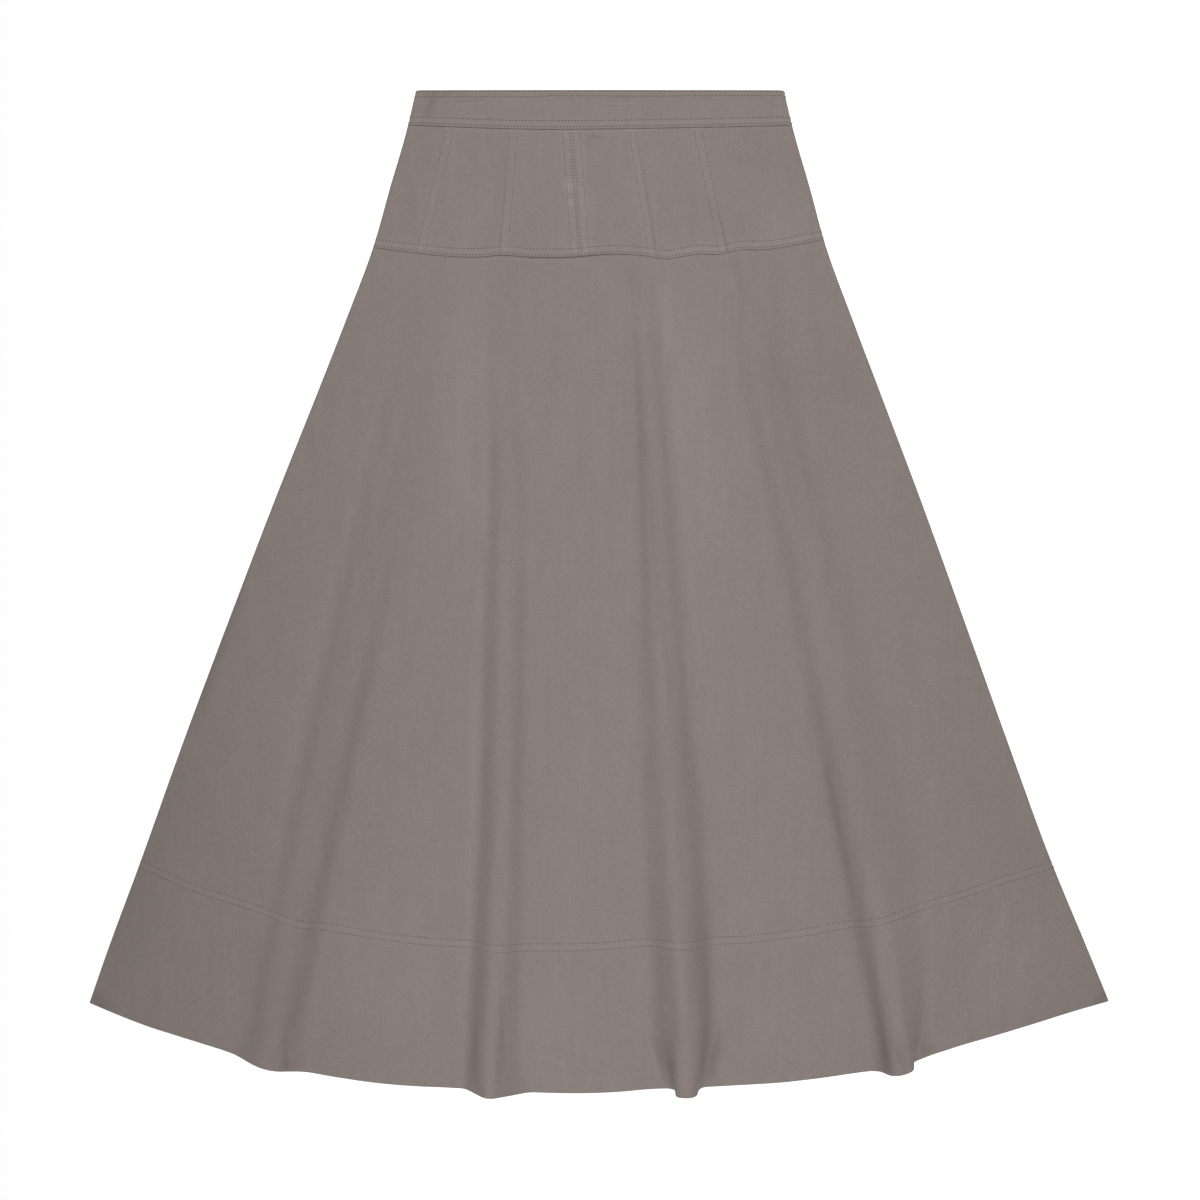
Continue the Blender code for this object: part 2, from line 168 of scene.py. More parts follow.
FLUTES = (
    table(
        Fold,
        (0.146, -0.14, 0.021, 0.022, 0.0),
        (0.266, -0.172, 0.025, 0.034, 0.0035),
        (0.339, -0.191, 0.027, 0.039, 0.007, 0.0, 0.1, 0.001),
        (0.412, -0.207, 0.03, 0.042, 0.0095, 0.1, 0.1, 0.0025),
        (0.486, -0.221, 0.031, 0.04, 0.0115, 0.2, 0.3, 0.0038),
        (0.559, -0.236, 0.033, 0.038, 0.0135, 0.2, 0.3, 0.0052),
        (0.632, -0.251, 0.035, 0.037, 0.015, 0.2, 0.3, 0.0062),
        (0.751, -0.276, 0.037, 0.036, 0.017, 0.2, 0.2, 0.0068),
        (0.816, -0.289, 0.035, 0.035, 0.018, 0.2, 0.1, 0.0068),
        (0.86, -0.2965, 0.034, 0.033, 0.019, 0.1, 0.2, 0.0062),
        (0.895, -0.303, 0.041, 0.042, 0.021, -0.1, 0.1, 0.004),
    ),
    table(
        Fold,
        (0.146, -0.09, 0.018, 0.018, 0.0),
        (0.266, -0.088, 0.02, 0.02, 0.004, 0.1),
        (0.339, -0.085, 0.023, 0.023, 0.007, 0.2, 0.0, 0.0, 0.0005),
        (0.486, -0.086, 0.027, 0.027, 0.0105, 0.1, 0.2, 0.0, 0.0015),
        (0.632, -0.088, 0.028, 0.028, 0.0135, 0.1, 0.2, 0.0, 0.0024),
        (0.751, -0.092, 0.029, 0.029, 0.016, 0.1, 0.1, 0.0, 0.0036),
        (0.83, -0.096, 0.03, 0.03, 0.019, 0.1, 0.1, 0.0, 0.004),
        (0.88, -0.099, 0.028, 0.031, 0.0215, 0.3, -0.1, 0.0, 0.0025),
        (0.918, -0.1, 0.026, 0.04, 0.0268, -0.2, -0.2),
    ),
    table(
        Fold,
        (0.146, 0.037, 0.018, 0.018, 0.0),
        (0.192, 0.04, 0.019, 0.019, 0.0026, 0.1),
        (0.266, 0.0445, 0.02, 0.019, 0.0065, 0.2, 0.1, 0.0, 0.0008),
        (0.412, 0.053, 0.024, 0.024, 0.0095, 0.2, 0.1, 0.0, 0.001),
        (0.559, 0.0605, 0.03, 0.031, 0.0125, 0.0, 0.2, 0.0, 0.0008),
        (0.696, 0.07, 0.036, 0.037, 0.0175, 0.0, 0.1),
        (0.78, 0.0745, 0.035, 0.036, 0.0215, 0.0, 0.2),
        (0.87, 0.0785, 0.032, 0.033, 0.026, 0.2, 0.4),
        (0.914, 0.079, 0.02, 0.019, 0.0325, 1.3, 0.7),
    ),
    table(
        Fold,
        (0.146, 0.122, 0.024, 0.024, 0.0),
        (0.192, 0.133, 0.027, 0.03, 0.003, 0.1),
        (0.266, 0.15, 0.031, 0.034, 0.008, 0.1),
        (0.412, 0.185, 0.035, 0.042, 0.0115, 0.2, 0.0, 0.0, 0.0008),
        (0.559, 0.217, 0.04, 0.048, 0.0145, 0.2, -0.1, 0.0, 0.0015),
        (0.632, 0.232, 0.045, 0.05, 0.018, 0.5, -0.2, 0.0, 0.003),
        (0.696, 0.244, 0.043, 0.048, 0.019, 0.5, -0.3, 0.0, 0.0045),
        (0.751, 0.255, 0.04, 0.04, 0.02, 0.3, -0.2, 0.0, 0.0065),
        (0.816, 0.2655, 0.034, 0.036, 0.022, 0.3, -0.1, 0.0, 0.0075),
        (0.86, 0.2715, 0.031, 0.029, 0.0245, 0.5, 0.2, 0.0, 0.005),
        (0.895, 0.2735, 0.03, 0.0185, 0.03, 0.5, 1.3, 0.0, 0.0005),
    ),
)

# How high the cloth swells between the flutes, from left to right: halfway down and at the hem.
SWELL_HEIGHTS = (
    (0.0015, 0.003), (0.0018, 0.0026), (0.0012, 0.002), (0.0022, 0.003), (0.002, 0.0034),
)
SWELLS = [table(Rise, (0.146, 0.0), (0.5, middle), (0.918, low)) for middle, low in SWELL_HEIGHTS]

# Creases, listed one by one: from one place to another, how wide, and how high (below 0 is a trough).
SKIRT_CREASES = table(
    Crease,
    (-0.083, 0.156, -0.079, 0.172, 0.006, -0.0007), (-0.043, 0.155, -0.04, 0.17, 0.005, -0.0004),
    (0.026, 0.154, 0.031, 0.185, 0.007, -0.0008), (0.06, 0.158, 0.064, 0.178, 0.005, 0.0004),
    (0.118, 0.152, 0.13, 0.2, 0.006, -0.001), (0.128, 0.15, 0.142, 0.184, 0.0045, 0.0006),
    (-0.15, 0.156, -0.168, 0.23, 0.009, -0.0006), (-0.186, 0.165, -0.222, 0.33, 0.011, -0.0005),
    (0.15, 0.19, 0.205, 0.4, 0.008, -0.0006), (0.178, 0.18, 0.24, 0.42, 0.007, 0.0005),
    (0.205, 0.23, 0.29, 0.52, 0.009, -0.0006), (0.255, 0.4, 0.33, 0.64, 0.012, -0.0005),
    (0.03, 0.64, 0.046, 0.8, 0.008, -0.0004), (-0.086, 0.815, -0.089, 0.914, 0.0035, -0.0014),
    (-0.282, 0.855, -0.285, 0.905, 0.003, -0.0009), (0.326, 0.745, 0.318, 0.816, 0.007, -0.0014),
    (0.318, 0.816, 0.3, 0.878, 0.005, -0.0018), (0.306, 0.8, 0.292, 0.88, 0.005, 0.001),
    (0.256, 0.87, 0.257, 0.896, 0.003, -0.001), (-0.372, 0.56, -0.4, 0.72, 0.012, -0.0005),
    (-0.33, 0.64, -0.352, 0.83, 0.01, 0.0006), (-0.22, 0.8, -0.226, 0.9, 0.008, -0.0005),
    (0.16, 0.83, 0.164, 0.905, 0.008, 0.0005), (0.362, 0.76, 0.372, 0.85, 0.009, -0.0005),
    (0.382, 0.64, 0.402, 0.76, 0.009, 0.0004),
)

YOKE_CREASES = table(
    Crease,
    (-0.147, 0.046, -0.158, 0.06, 0.003, -0.0004), (-0.15, 0.052, -0.182, 0.128, 0.0055, -0.0005),
    (-0.17, 0.04, -0.186, 0.1, 0.0065, 0.0004), (-0.176, 0.108, -0.17, 0.122, 0.003, -0.0005),
    (-0.08, 0.05, -0.078, 0.058, 0.003, -0.0004), (-0.092, 0.052, -0.099, 0.075, 0.005, -0.0003),
    (-0.012, 0.041, 0.002, 0.044, 0.0025, -0.0004), (-0.031, 0.085, -0.031, 0.095, 0.003, 0.0005),
    (-0.028, 0.101, -0.027, 0.108, 0.003, 0.0005), (0.103, 0.11, 0.116, 0.15, 0.005, -0.0006),
    (0.122, 0.118, 0.128, 0.15, 0.006, -0.0005), (0.112, 0.046, 0.126, 0.11, 0.008, -0.0004),
    (0.044, 0.048, 0.058, 0.07, 0.006, -0.0003), (0.15, 0.06, 0.18, 0.13, 0.01, 0.0004),
    (-0.112, 0.09, -0.124, 0.13, 0.009, 0.0003),
)

BAND_CREASES = table(
    Crease,
    (-0.155, 0.002, -0.16, 0.024, 0.0025, -0.0005),
    (-0.134, 0.013, -0.096, 0.0115, 0.0012, 0.0003),
    (-0.138, 0.0115, -0.11, 0.0098, 0.002, -0.0003), (0.072, 0.008, 0.102, 0.007, 0.003, -0.0004),
    (0.004, 0.009, 0.034, 0.008, 0.003, -0.0003), (0.111, 0.022, 0.11, 0.034, 0.001, 0.0003),
    (0.115, 0.024, 0.115, 0.034, 0.001, -0.0004), (0.119, 0.022, 0.119, 0.033, 0.001, 0.0003),
    (-0.047, 0.002, -0.046, 0.01, 0.0015, 0.0003), (0.14, 0.01, 0.16, 0.016, 0.004, 0.0003),
)

# The same shapes, where height is painted light and shade: the share by which the colour of the cloth
# is made lighter, or darker below 0.
SKIRT_PAINTED_SHADING = table(
    Crease,
    (-0.126, 0.2, -0.13, 0.4, 0.026, 0.065), (-0.25, 0.8, -0.145, 0.812, 0.06, 0.035),
    (0.082, 0.22, 0.104, 0.43, 0.023, 0.058), (0.057, 0.175, 0.064, 0.24, 0.007, 0.08),
    (0.35, 0.806, 0.45, 0.796, 0.05, 0.055), (0.14, 0.262, 0.24, 0.27, 0.03, -0.045),
    (-0.325, 0.44, -0.372, 0.575, 0.0055, -0.16), (-0.38, 0.6, -0.455, 0.8, 0.018, -0.07),
    (-0.083, 0.157, -0.078, 0.178, 0.009, -0.03), (-0.043, 0.157, -0.04, 0.175, 0.007, -0.04),
    (0.026, 0.156, 0.032, 0.19, 0.006, -0.05), (0.121, 0.153, 0.133, 0.196, 0.006, -0.06),
    (-0.102, 0.33, -0.114, 0.56, 0.006, 0.05), (-0.114, 0.56, -0.124, 0.9, 0.0075, 0.07),
    (-0.21, 0.32, -0.272, 0.56, 0.008, 0.045), (-0.276, 0.56, -0.303, 0.77, 0.0055, 0.045),
    (-0.174, 0.3, -0.23, 0.52, 0.008, -0.05), (-0.23, 0.52, -0.296, 0.88, 0.009, -0.035),
    (0.036, 0.25, 0.052, 0.44, 0.0045, -0.06), (0.052, 0.44, 0.065, 0.56, 0.0045, -0.06),
    (0.065, 0.56, 0.085, 0.88, 0.007, -0.075), (0.066, 0.25, 0.088, 0.5, 0.005, 0.05),
    (0.147, 0.25, 0.178, 0.395, 0.006, -0.07), (0.2, 0.28, 0.222, 0.37, 0.012, -0.03),
    (0.152, 0.16, 0.168, 0.23, 0.008, -0.035), (-0.091, 0.17, -0.091, 0.44, 0.005, -0.035),
    (-0.06, 0.8, -0.055, 0.9, 0.02, 0.03), (-0.2845, 0.88, -0.283, 0.905, 0.0016, -0.15),
    (-0.1205, 0.815, -0.12, 0.918, 0.0024, -0.03), (-0.0885, 0.85, -0.0865, 0.914, 0.0014, -0.08),
    (0.301, 0.868, 0.3015, 0.876, 0.0016, -0.15), (0.376, 0.735, 0.338, 0.808, 0.006, 0.035),
    (0.33, 0.745, 0.312, 0.8, 0.006, -0.03), (0.396, 0.775, 0.354, 0.84, 0.006, 0.03),
    (0.352, 0.745, 0.326, 0.83, 0.005, -0.025), (0.012, 0.16, 0.016, 0.178, 0.008, -0.035),
    (-0.302, 0.78, -0.312, 0.88, 0.008, -0.035), (-0.107, 0.79, -0.103, 0.91, 0.004, -0.04),
    (0.078, 0.78, 0.086, 0.9, 0.005, -0.035), (0.2955, 0.8, 0.302, 0.862, 0.004, 0.045),
    (0.272, 0.805, 0.278, 0.865, 0.004, -0.045), (0.257, 0.866, 0.26, 0.892, 0.0016, -0.12),
    (0.206, 0.582, 0.237, 0.722, 0.005, -0.07), (0.222, 0.57, 0.248, 0.69, 0.014, -0.03),
    (0.249, 0.76, 0.258, 0.85, 0.005, 0.035), (0.05, 0.866, 0.06, 0.906, 0.0035, -0.17),
    (0.109, 0.862, 0.099, 0.902, 0.004, -0.18), (0.266, 0.864, 0.273, 0.89, 0.003, -0.12),
    (0.293, 0.87, 0.299, 0.885, 0.0024, -0.14), (-0.464, 0.826, -0.452, 0.84, 0.005, -0.16),
    (0.464, 0.824, 0.452, 0.838, 0.005, -0.16),
)
YOKE_PAINTED_SHADING = table(
    Crease,
    (-0.0285, 0.0835, -0.0295, 0.0918, 0.006, 0.17),
    (-0.0272, 0.0995, -0.0268, 0.1055, 0.0052, 0.15),
    (-0.0185, 0.056, -0.0155, 0.08, 0.0042, 0.07), (-0.015, 0.09, -0.013, 0.112, 0.0042, 0.07),
    (-0.0236, 0.1405, -0.0236, 0.15, 0.005, 0.08), (-0.0112, 0.1405, -0.0112, 0.15, 0.005, 0.1),
    (-0.1645, 0.14, -0.1655, 0.147, 0.004, 0.06), (-0.088, 0.146, -0.079, 0.146, 0.0022, 0.07),
    (-0.16, 0.04, -0.176, 0.115, 0.006, -0.03), (0.15, 0.127, 0.185, 0.127, 0.016, 0.045),
    (-0.0905, 0.05, -0.0965, 0.145, 0.004, -0.04), (0.098, 0.095, 0.115, 0.145, 0.007, -0.05),
    (0.126, 0.115, 0.13, 0.148, 0.007, -0.045), (-0.012, 0.0425, 0.004, 0.0435, 0.0018, -0.09),
    (-0.086, 0.055, -0.082, 0.078, 0.006, -0.045), (-0.125, 0.08, -0.118, 0.14, 0.016, 0.03),
    (0.03, 0.08, 0.04, 0.125, 0.01, 0.03), (0.115, 0.058, 0.175, 0.062, 0.018, -0.035),
    (-0.163, 0.062, -0.14, 0.078, 0.008, -0.035), (-0.205, 0.1385, -0.1, 0.1475, 0.005, 0.03),
    (0.06, 0.149, 0.125, 0.142, 0.005, 0.045), (0.125, 0.142, 0.205, 0.132, 0.005, 0.045),
    (-0.115, 0.125, -0.098, 0.105, 0.006, 0.03), (0.005, 0.062, 0.01, 0.11, 0.008, -0.03),
)
BAND_PAINTED_SHADING = table(
    Crease,
    (-0.1505, 0.001, -0.159, 0.024, 0.0032, -0.13), (-0.145, 0.0, -0.125, 0.0, 0.002, -0.12),
    (-0.135, 0.0112, -0.108, 0.0095, 0.0012, -0.08), (-0.132, 0.0142, -0.108, 0.012, 0.001, 0.06),
    (0.006, 0.008, 0.028, 0.0075, 0.0022, -0.06), (0.093, 0.008, 0.105, 0.008, 0.002, -0.06),
    (-0.162, 0.003, -0.125, 0.003, 0.006, -0.07), (-0.085, 0.02, -0.055, 0.022, 0.003, -0.03),
)

# Rows of stitches beside each yoke seam by their distance from it, the side that its allowance lies
# on (0 is both), and from where down, how deep and how dark the seam itself shows as a line. The
# dark of the seam line is painted shade.
PAIRS = (
    Pair(0, (0.0010, 0.0083), 1, 0.150, 0.0001, 0.04),
    Pair(1, (0.0010, 0.0082), 1, 0.095, 0.0003, 0.08),
    Pair(2, (-0.0077, -0.0013, 0.0018, 0.0083), 0, 0.000, 0.0004, 0.05),
    Pair(3, (-0.0016, -0.0078), -1, 0.067, 0.0003, 0.11),
    Pair(4, (-0.0010, -0.0082), -1, 0.125, 0.0004, 0.18),
)
BAND_ROWS_ABOVE_SEAM = (0.0023, 0.0076)
YOKE_ROWS_ABOVE_SEAM = (0.0022, 0.0077)
WAIST_ROW_DOWN = 0.0013
HEM_ROW_SPACING = 0.0064

STITCH_PITCH = 0.0030
YOKE_STITCH_PITCH = 0.0029
STITCH_SHARE = 0.62
STITCH_RADIUS = 0.00028
WAIST_HOLE_RADIUS = 0.00042
BAND_HOLE_RADIUS = 0.00047
YOKE_HOLE_RADIUS = 0.00041
HEM_HOLE_RADIUS = 0.00041
HOLE_LIFT = 0.00018
HOLE_DEPTH = 0.0002
HOLE_TAPER = 0.5
ROW_TOP_DOWN = 0.040
ROW_BOTTOM_DOWN = 0.145
ROW_END_GAP = 0.001
RING_SIDES = 6
# The rings of a stitch: place along it, size, flatness and lift, all as shares.
STITCH_RINGS = (
    (-1.0, 0.35, 0.7, -0.35),
    (-0.68, 0.9, 0.8, 0.75),
    (0.0, 1.0, 0.85, 0.75),
    (0.68, 0.9, 0.8, 0.75),
    (1.0, 0.35, 0.7, -0.35),
)
SEWN_GAP = 0.00012
PANEL_GAP = 0.00002
GROOVE_DEPTH = 0.00002
GROOVE_WIDTH = 0.0011
PUCKER_HEIGHT = 0.00006
PUCKER_WIDTH = 0.0035
SEAM_PUCKER_DOWN = 0.003
SEAM_PUCKER_STRETCH = 0.8
CREASE_LOPSIDE = 0.5
CREASE_TAPER = 6
ALLOWANCE_HEIGHT = 0.00022
ALLOWANCE_WIDTH = 0.0105
ALLOWANCE_BLUR = 0.0006
SEAM_BLUR = 0.0004
SEAM_LINE_WIDTH = 0.0008
SEAM_LINE_START = 0.008
SKIRT_UNEVEN = 0.00035
YOKE_UNEVEN = 0.0002
BAND_UNEVEN = 0.00015

# Each edge that turns down: how far and over what width.
WAIST_EDGE = (0.00012, 0.0008)
SEWN_EDGE = (0.0004, 0.0010)
YOKE_TOP_EDGE = (0.0004, 0.0016)
SKIRT_TOP_EDGE = (0.0003, 0.0012)
HEM_EDGE = (0.0004, 0.0012)

# Two crossing waves a row: their share, then turns across, turns down and start of each.
UNEVEN_WAVES = (
    (1.00, (41, 13, 0.7), (-17, 29, 2.1)),
    (0.45, (97, -31, 1.3), (43, 71, 0.4)),
    (0.18, (211, 57, 2.9), (-89, 167, 1.1)),
)
# The ripples beside a row of stitches: share, turns along it, and how the seed moves their start.
PUCKER_WAVES = ((1.0, 760, 1.0, 0.0), (0.7, 1130, 1.9, 1.0), (0.5, 430, -1.0, 0.0))

# Soft lines beside a seam, an edge or a row: how high or how light, how far from it and how wide. All
# but the hem dent are painted light and painted shade in the colour of the cloth.
HEM_DENT = Trim(-0.00012, 0.0035, 0.0010)
YOKE_SEAM_SHADE_LEAST = 0.02
YOKE_SEAM_SHADE = Trim(0.28, -0.030, 0.055)
SKIRT_TOP_LIGHT = Trim(0.05, 0.0018, 0.0010)
SKIRT_TOP_SHADE_WIDTH = 0.0009
HEM_EDGE_SHADE = Trim(-0.05, 0.0, 0.0012)
HEM_ROWS_LIGHT = Trim(0.03, HEM_ROW_SPACING / 2, 0.0055)
ALLOWANCE_LIGHT = 0.036
SEAM_ROW_LIGHT_WIDTH = 0.0017
SEAM_ROW_LIGHT = 0.05
YOKE_END_SHADE_WIDTH = 0.0008
YOKE_ROWS_LIGHT = 0.055
YOKE_ROWS_LIGHT_LOSS = 0.15
YOKE_ROWS_LIGHT_WIDTH = 0.0035
YOKE_TOP_LIGHT = Trim(0.08, 0.0012, 0.0012)
BAND_ROWS_LIGHT = Trim(0.05, 0.0045, 0.0045)
BAND_END_SHADE = Trim(-0.10, 0.0, 0.0006)
BAND_SIDE_LIGHT = Trim(0.20, 0.0, 0.0012)


def curve(rows, known_name, value_name):
    """A smooth curve through one column of a table, held level past both ends."""
    known = numpy.array([getattr(row, known_name) for row in rows])
    values = numpy.array([getattr(row, value_name) for row in rows])
    slopes = numpy.gradient(values, known)

    def value_at(place):
        place = numpy.clip(place, known[0], known[-1])
        index = numpy.clip(numpy.searchsorted(known, place) - 1, 0, len(known) - 2)
        span = known[index + 1] - known[index]
        share = (place - known[index]) / span
        rest = 1 - share
        start = values[index] * (1 + 2 * share) + slopes[index] * span * share
        end = values[index + 1] * (3 - 2 * share) - slopes[index + 1] * span * rest
        return start * rest**2 + end * share**2

    return value_at


LEFT_HALF = curve(SIDES, "down", "left")
RIGHT_HALF = curve(SIDES, "down", "right")
BAND_SEAM_DOWN = curve(BAND_SEAM, "across", "down")
YOKE_SEAM_DOWN = curve(YOKE_SEAM, "across", "down")
BACK_YOKE_SEAM_DOWN = curve(BACK_YOKE_SEAM, "across", "down")
HEM_DOWN = curve(HEM, "across", "down")
HEM_ROW_DOWN = curve(HEM_ROW, "across", "down")
BAND_TOP_ROW_DOWN = curve(BAND_TOP_ROW, "across", "down")
CROWN_HEIGHT = curve(CROWN, "down", "height")


def side_line(side, inset=0.0):
    def across_at(down):
        half = LEFT_HALF(down) if side < 0 else RIGHT_HALF(down)
        return side * (half - inset)

    return across_at


def panel_seam(seam, shift=0.0):
    def across_at(down):
        share = (down - YOKE_TOP_DOWN) / (YOKE_BOTTOM_DOWN - YOKE_TOP_DOWN)
        return seam.top + (seam.bottom - seam.top) * share + shift

    return across_at


def level_line(down):
    def down_at(across):
        return numpy.full_like(across, down)

    return down_at


def moved_line(line, shift):
    def down_at(across):
        return line(across) + shift

    return down_at


def flat_stretch(left, right, steps, with_left=False, with_right=False, ends_tight=False):
    """Cloth between two lines. A neighbouring stretch has the end columns left out."""
    shares = numpy.linspace(0, 1, steps + 1)
    if ends_tight:
        shares = (1 - numpy.cos(numpy.pi * shares)) / 2 * 0.5 + shares * 0.5
    shares = shares[0 if with_left else 1 : None if with_right else -1]

    def places(down):
        across = left(down) + (right(down) - left(down)) * shares
        return across, 0 * across, numpy.ones_like(across)

    return places


def between_flutes(left, right, steps, swell, left_ground, right_ground):
    """Cloth between the feet of two flutes, from one ground to the other with a swell."""
    shares = numpy.linspace(0, 1, steps + 1)[1:-1]

    def places(down):
        across = left(down) + (right(down) - left(down)) * shares
        ease = shares**2 * (3 - 2 * shares)
        height = left_ground(down) + (right_ground(down) - left_ground(down)) * ease
        height = height + swell(down) * numpy.sin(numpy.pi * shares) ** 2
        return across, height, numpy.ones_like(across)

    return places


def rolled_side(side, roll, steps):
    angles = numpy.linspace(0, numpy.pi / 2, steps + 1)
    if side > 0:
        angles = angles[::-1]

    def places(down):
        across = side_line(side)(down) - side * roll * (1 - numpy.cos(angles))
        return across, 0 * across, numpy.sin(angles) + 0 * across

    return places


class Flute:
    """A fold that stands up in the front. Turn runs from 0 at its left foot to 1 at its right."""

    def __init__(self, rows):
        for part in Fold._fields[1:]:
            setattr(self, part, curve(rows, "down", part))

    def foot(self, side):
        def across_at(down):
            reach = self.left(down) if side < 0 else self.right(down)
            return self.crest(down) + side * reach

        return across_at

    def stretch(self, steps):
        turns = numpy.linspace(0, 1, steps + 1)

        def places(down):
            on_left = turns < 0.5
            lean = numpy.where(on_left, self.lean_left(down), self.lean_right(down))
            reach = numpy.where(on_left, self.left(down), self.right(down))
            bend = lean * numpy.sin(4 * numpy.pi * turns) / (4 * numpy.pi)
            across = self.crest(down) + 2 * reach * (turns - 0.5 + bend)
            ground = numpy.where(on_left, self.ground_left(down), self.ground_right(down))
            climb = (1 - numpy.cos(2 * numpy.pi * turns)) / 2
            height = ground + (self.height(down) - ground) * climb
            return across, height, numpy.ones_like(across)

        return places


def crown(across, down):
    half = numpy.where(across < 0, LEFT_HALF(down), RIGHT_HALF(down))
    return CROWN_HEIGHT(down) * (1 - numpy.clip(across / half, -1, 1) ** 2)


def mound(distance, width):
    """A smooth bump, 1 at distance 0 and near 0 past twice the width."""
    return numpy.exp(-((distance / width) ** 2))


def trimming(trim, distance):
    return trim.share * mound(distance - trim.offset, trim.width)


def creased(creases, across, down):
    """The height of all creases at each place, each one dying away past both of its ends."""
    height = 0 * across
    for crease in creases:
        run = numpy.array([crease.across_end - crease.across, crease.down_end - crease.down])
        length = numpy.hypot(*run)
        along = ((across - crease.across) * run[0] + (down - crease.down) * run[1]) / length
        off = ((across - crease.across) * run[1] - (down - crease.down) * run[0]) / length
        middle = along / length - 0.5
        taper = 1 / (1 + (numpy.abs(middle) * 2) ** CREASE_TAPER)
        lopsided = 1 + CREASE_LOPSIDE * numpy.tanh(off / crease.width)
        height = height + crease.height * mound(off, crease.width * lopsided) * taper
    return height


def ripple(across, down, turns_across, turns_down, start):
    return numpy.sin(across * turns_across + down * turns_down + start)


def uneven(across, down, height):
    """The faint, slow unevenness of laid cloth."""
    total = 0 * across
    for share, first, second in UNEVEN_WAVES:
        total = total + share * ripple(across, down, *first) * ripple(across, down, *second)
    return height * total


def pucker(along, distance, seed):
    """Small ripples that a row of stitches pulls into the cloth on both sides of it."""
    wave = 0 * along
    for share, turns, move, start in PUCKER_WAVES:
        wave = wave + share * numpy.sin(along * turns + move * seed + start)
    return PUCKER_HEIGHT * wave * mound(distance, PUCKER_WIDTH)


def stitched(along, distance, seed):
    """The groove and the ripples of one row of stitches."""
    return pucker(along, distance, seed) - GROOVE_DEPTH * mound(distance, GROOVE_WIDTH)


def edge(distance, drop, width):
    """How far a cut or folded edge turns down, by the distance from it."""
    return -drop * mound(numpy.maximum(distance, 0), width)


def skirt_relief(across, down):
    row = HEM_ROW_DOWN(across)
    height = creased(SKIRT_CREASES, across, down) + uneven(across, down, SKIRT_UNEVEN)
    height = height + stitched(across, down - row, 0.3)
    height = height + stitched(across, down - row - HEM_ROW_SPACING, 1.7)
    below = down - YOKE_SEAM_DOWN(across)
    height = height + edge(below, *SKIRT_TOP_EDGE)
    height = height + pucker(across * SEAM_PUCKER_STRETCH, below - SEAM_PUCKER_DOWN, 4.0)
    height = height + edge(HEM_DOWN(across) - down, *HEM_EDGE)
    return height + trimming(HEM_DENT, HEM_DOWN(across) - down)


def on_allowance(off, side):
    """1 where the allowance of a seam lies under the cloth, by the distance from the seam."""
    reach = off * side if side else numpy.abs(off)
    inside = 1 / (1 + numpy.exp((reach - ALLOWANCE_WIDTH) / ALLOWANCE_BLUR))
    return inside / (1 + numpy.exp(-reach / SEAM_BLUR)) if side else inside


def seam_line(pair, off, down):
    """1 along a yoke seam where it shows as a line, and 0 above that and beside it."""
    return mound(off, SEAM_LINE_WIDTH) / (1 + numpy.exp((pair.line_from - down) / SEAM_LINE_START))


def seam_relief(across, down):
    """The seams between yoke panels: a groove, a raised allowance on one side and its stitches."""
    height = 0 * across
    for number, pair in enumerate(PAIRS):
        off = across - panel_seam(PANEL_SEAMS[pair.seam])(down)
        height = height + ALLOWANCE_HEIGHT * on_allowance(off, pair.side)
        height = height - pair.groove * seam_line(pair, off, down)
        for row in pair.rows:
            height = height + stitched(down, off - row, number + row * 500)
    return height


def yoke_relief(across, down):
    seam = YOKE_SEAM_DOWN(across)
    height = creased(YOKE_CREASES, across, down) + uneven(across, down, YOKE_UNEVEN)
    height = height + seam_relief(across, down)
    for number, above in enumerate(YOKE_ROWS_ABOVE_SEAM):
        height = height + stitched(across, down - seam + above, 2.0 + number)
    height = height + edge(seam - down, *SEWN_EDGE)
    return height + edge(down - BAND_SEAM_DOWN(across), *YOKE_TOP_EDGE)


def band_relief(across, down):
    seam = BAND_SEAM_DOWN(across)
    height = creased(BAND_CREASES, across, down) + uneven(across, down, BAND_UNEVEN)
    for number, above in enumerate(BAND_ROWS_ABOVE_SEAM):
        height = height + stitched(across, down - seam + above, 3.0 + number)
    height = height + stitched(across, down - BAND_TOP_ROW_DOWN(across), 5.0)
    height = height + edge(seam - down, *SEWN_EDGE)
    return height + edge(down, *WAIST_EDGE)


def seam_shade(across):
    """How much painted shadow darkens the line under the yoke: most in the middle, where the edge
    stands off.
    """
    return YOKE_SEAM_SHADE_LEAST + trimming(YOKE_SEAM_SHADE, across)


def skirt_painted_shading(across, down):
    """Painted light and shade: how much lighter, or darker below 0, the colour of the skirt's cloth
    is made at each place.
    """
    below = down - YOKE_SEAM_DOWN(across)
    share = creased(SKIRT_PAINTED_SHADING, across, down) + trimming(SKIRT_TOP_LIGHT, below)
    share = share - seam_shade(across) * mound(below, SKIRT_TOP_SHADE_WIDTH)
    share = share + trimming(HEM_EDGE_SHADE, HEM_DOWN(across) - down)
    return share + trimming(HEM_ROWS_LIGHT, down - HEM_ROW_DOWN(across))


# Painted light and shade on the yoke: patches, lighter allowances, stitch rows and top edge, darker
# seam lines and bottom edge.
def yoke_painted_shading(across, down):
    share = creased(YOKE_PAINTED_SHADING, across, down)
    for pair in PAIRS:
        off = across - panel_seam(PANEL_SEAMS[pair.seam])(down)
        share = share + ALLOWANCE_LIGHT * on_allowance(off, pair.side)
        share = share - pair.shade * seam_line(pair, off, down)
        for row in pair.rows:
            share = share + SEAM_ROW_LIGHT * mound(off - row, SEAM_ROW_LIGHT_WIDTH)
    above = YOKE_SEAM_DOWN(across) - down
    share = share - seam_shade(across) * mound(above, YOKE_END_SHADE_WIDTH)
    light = YOKE_ROWS_LIGHT - YOKE_ROWS_LIGHT_LOSS * seam_shade(across)
    share = share + light * mound(above - YOKE_ROWS_LIGHT_WIDTH, YOKE_ROWS_LIGHT_WIDTH)
    return share + trimming(YOKE_TOP_LIGHT, down - BAND_SEAM_DOWN(across))
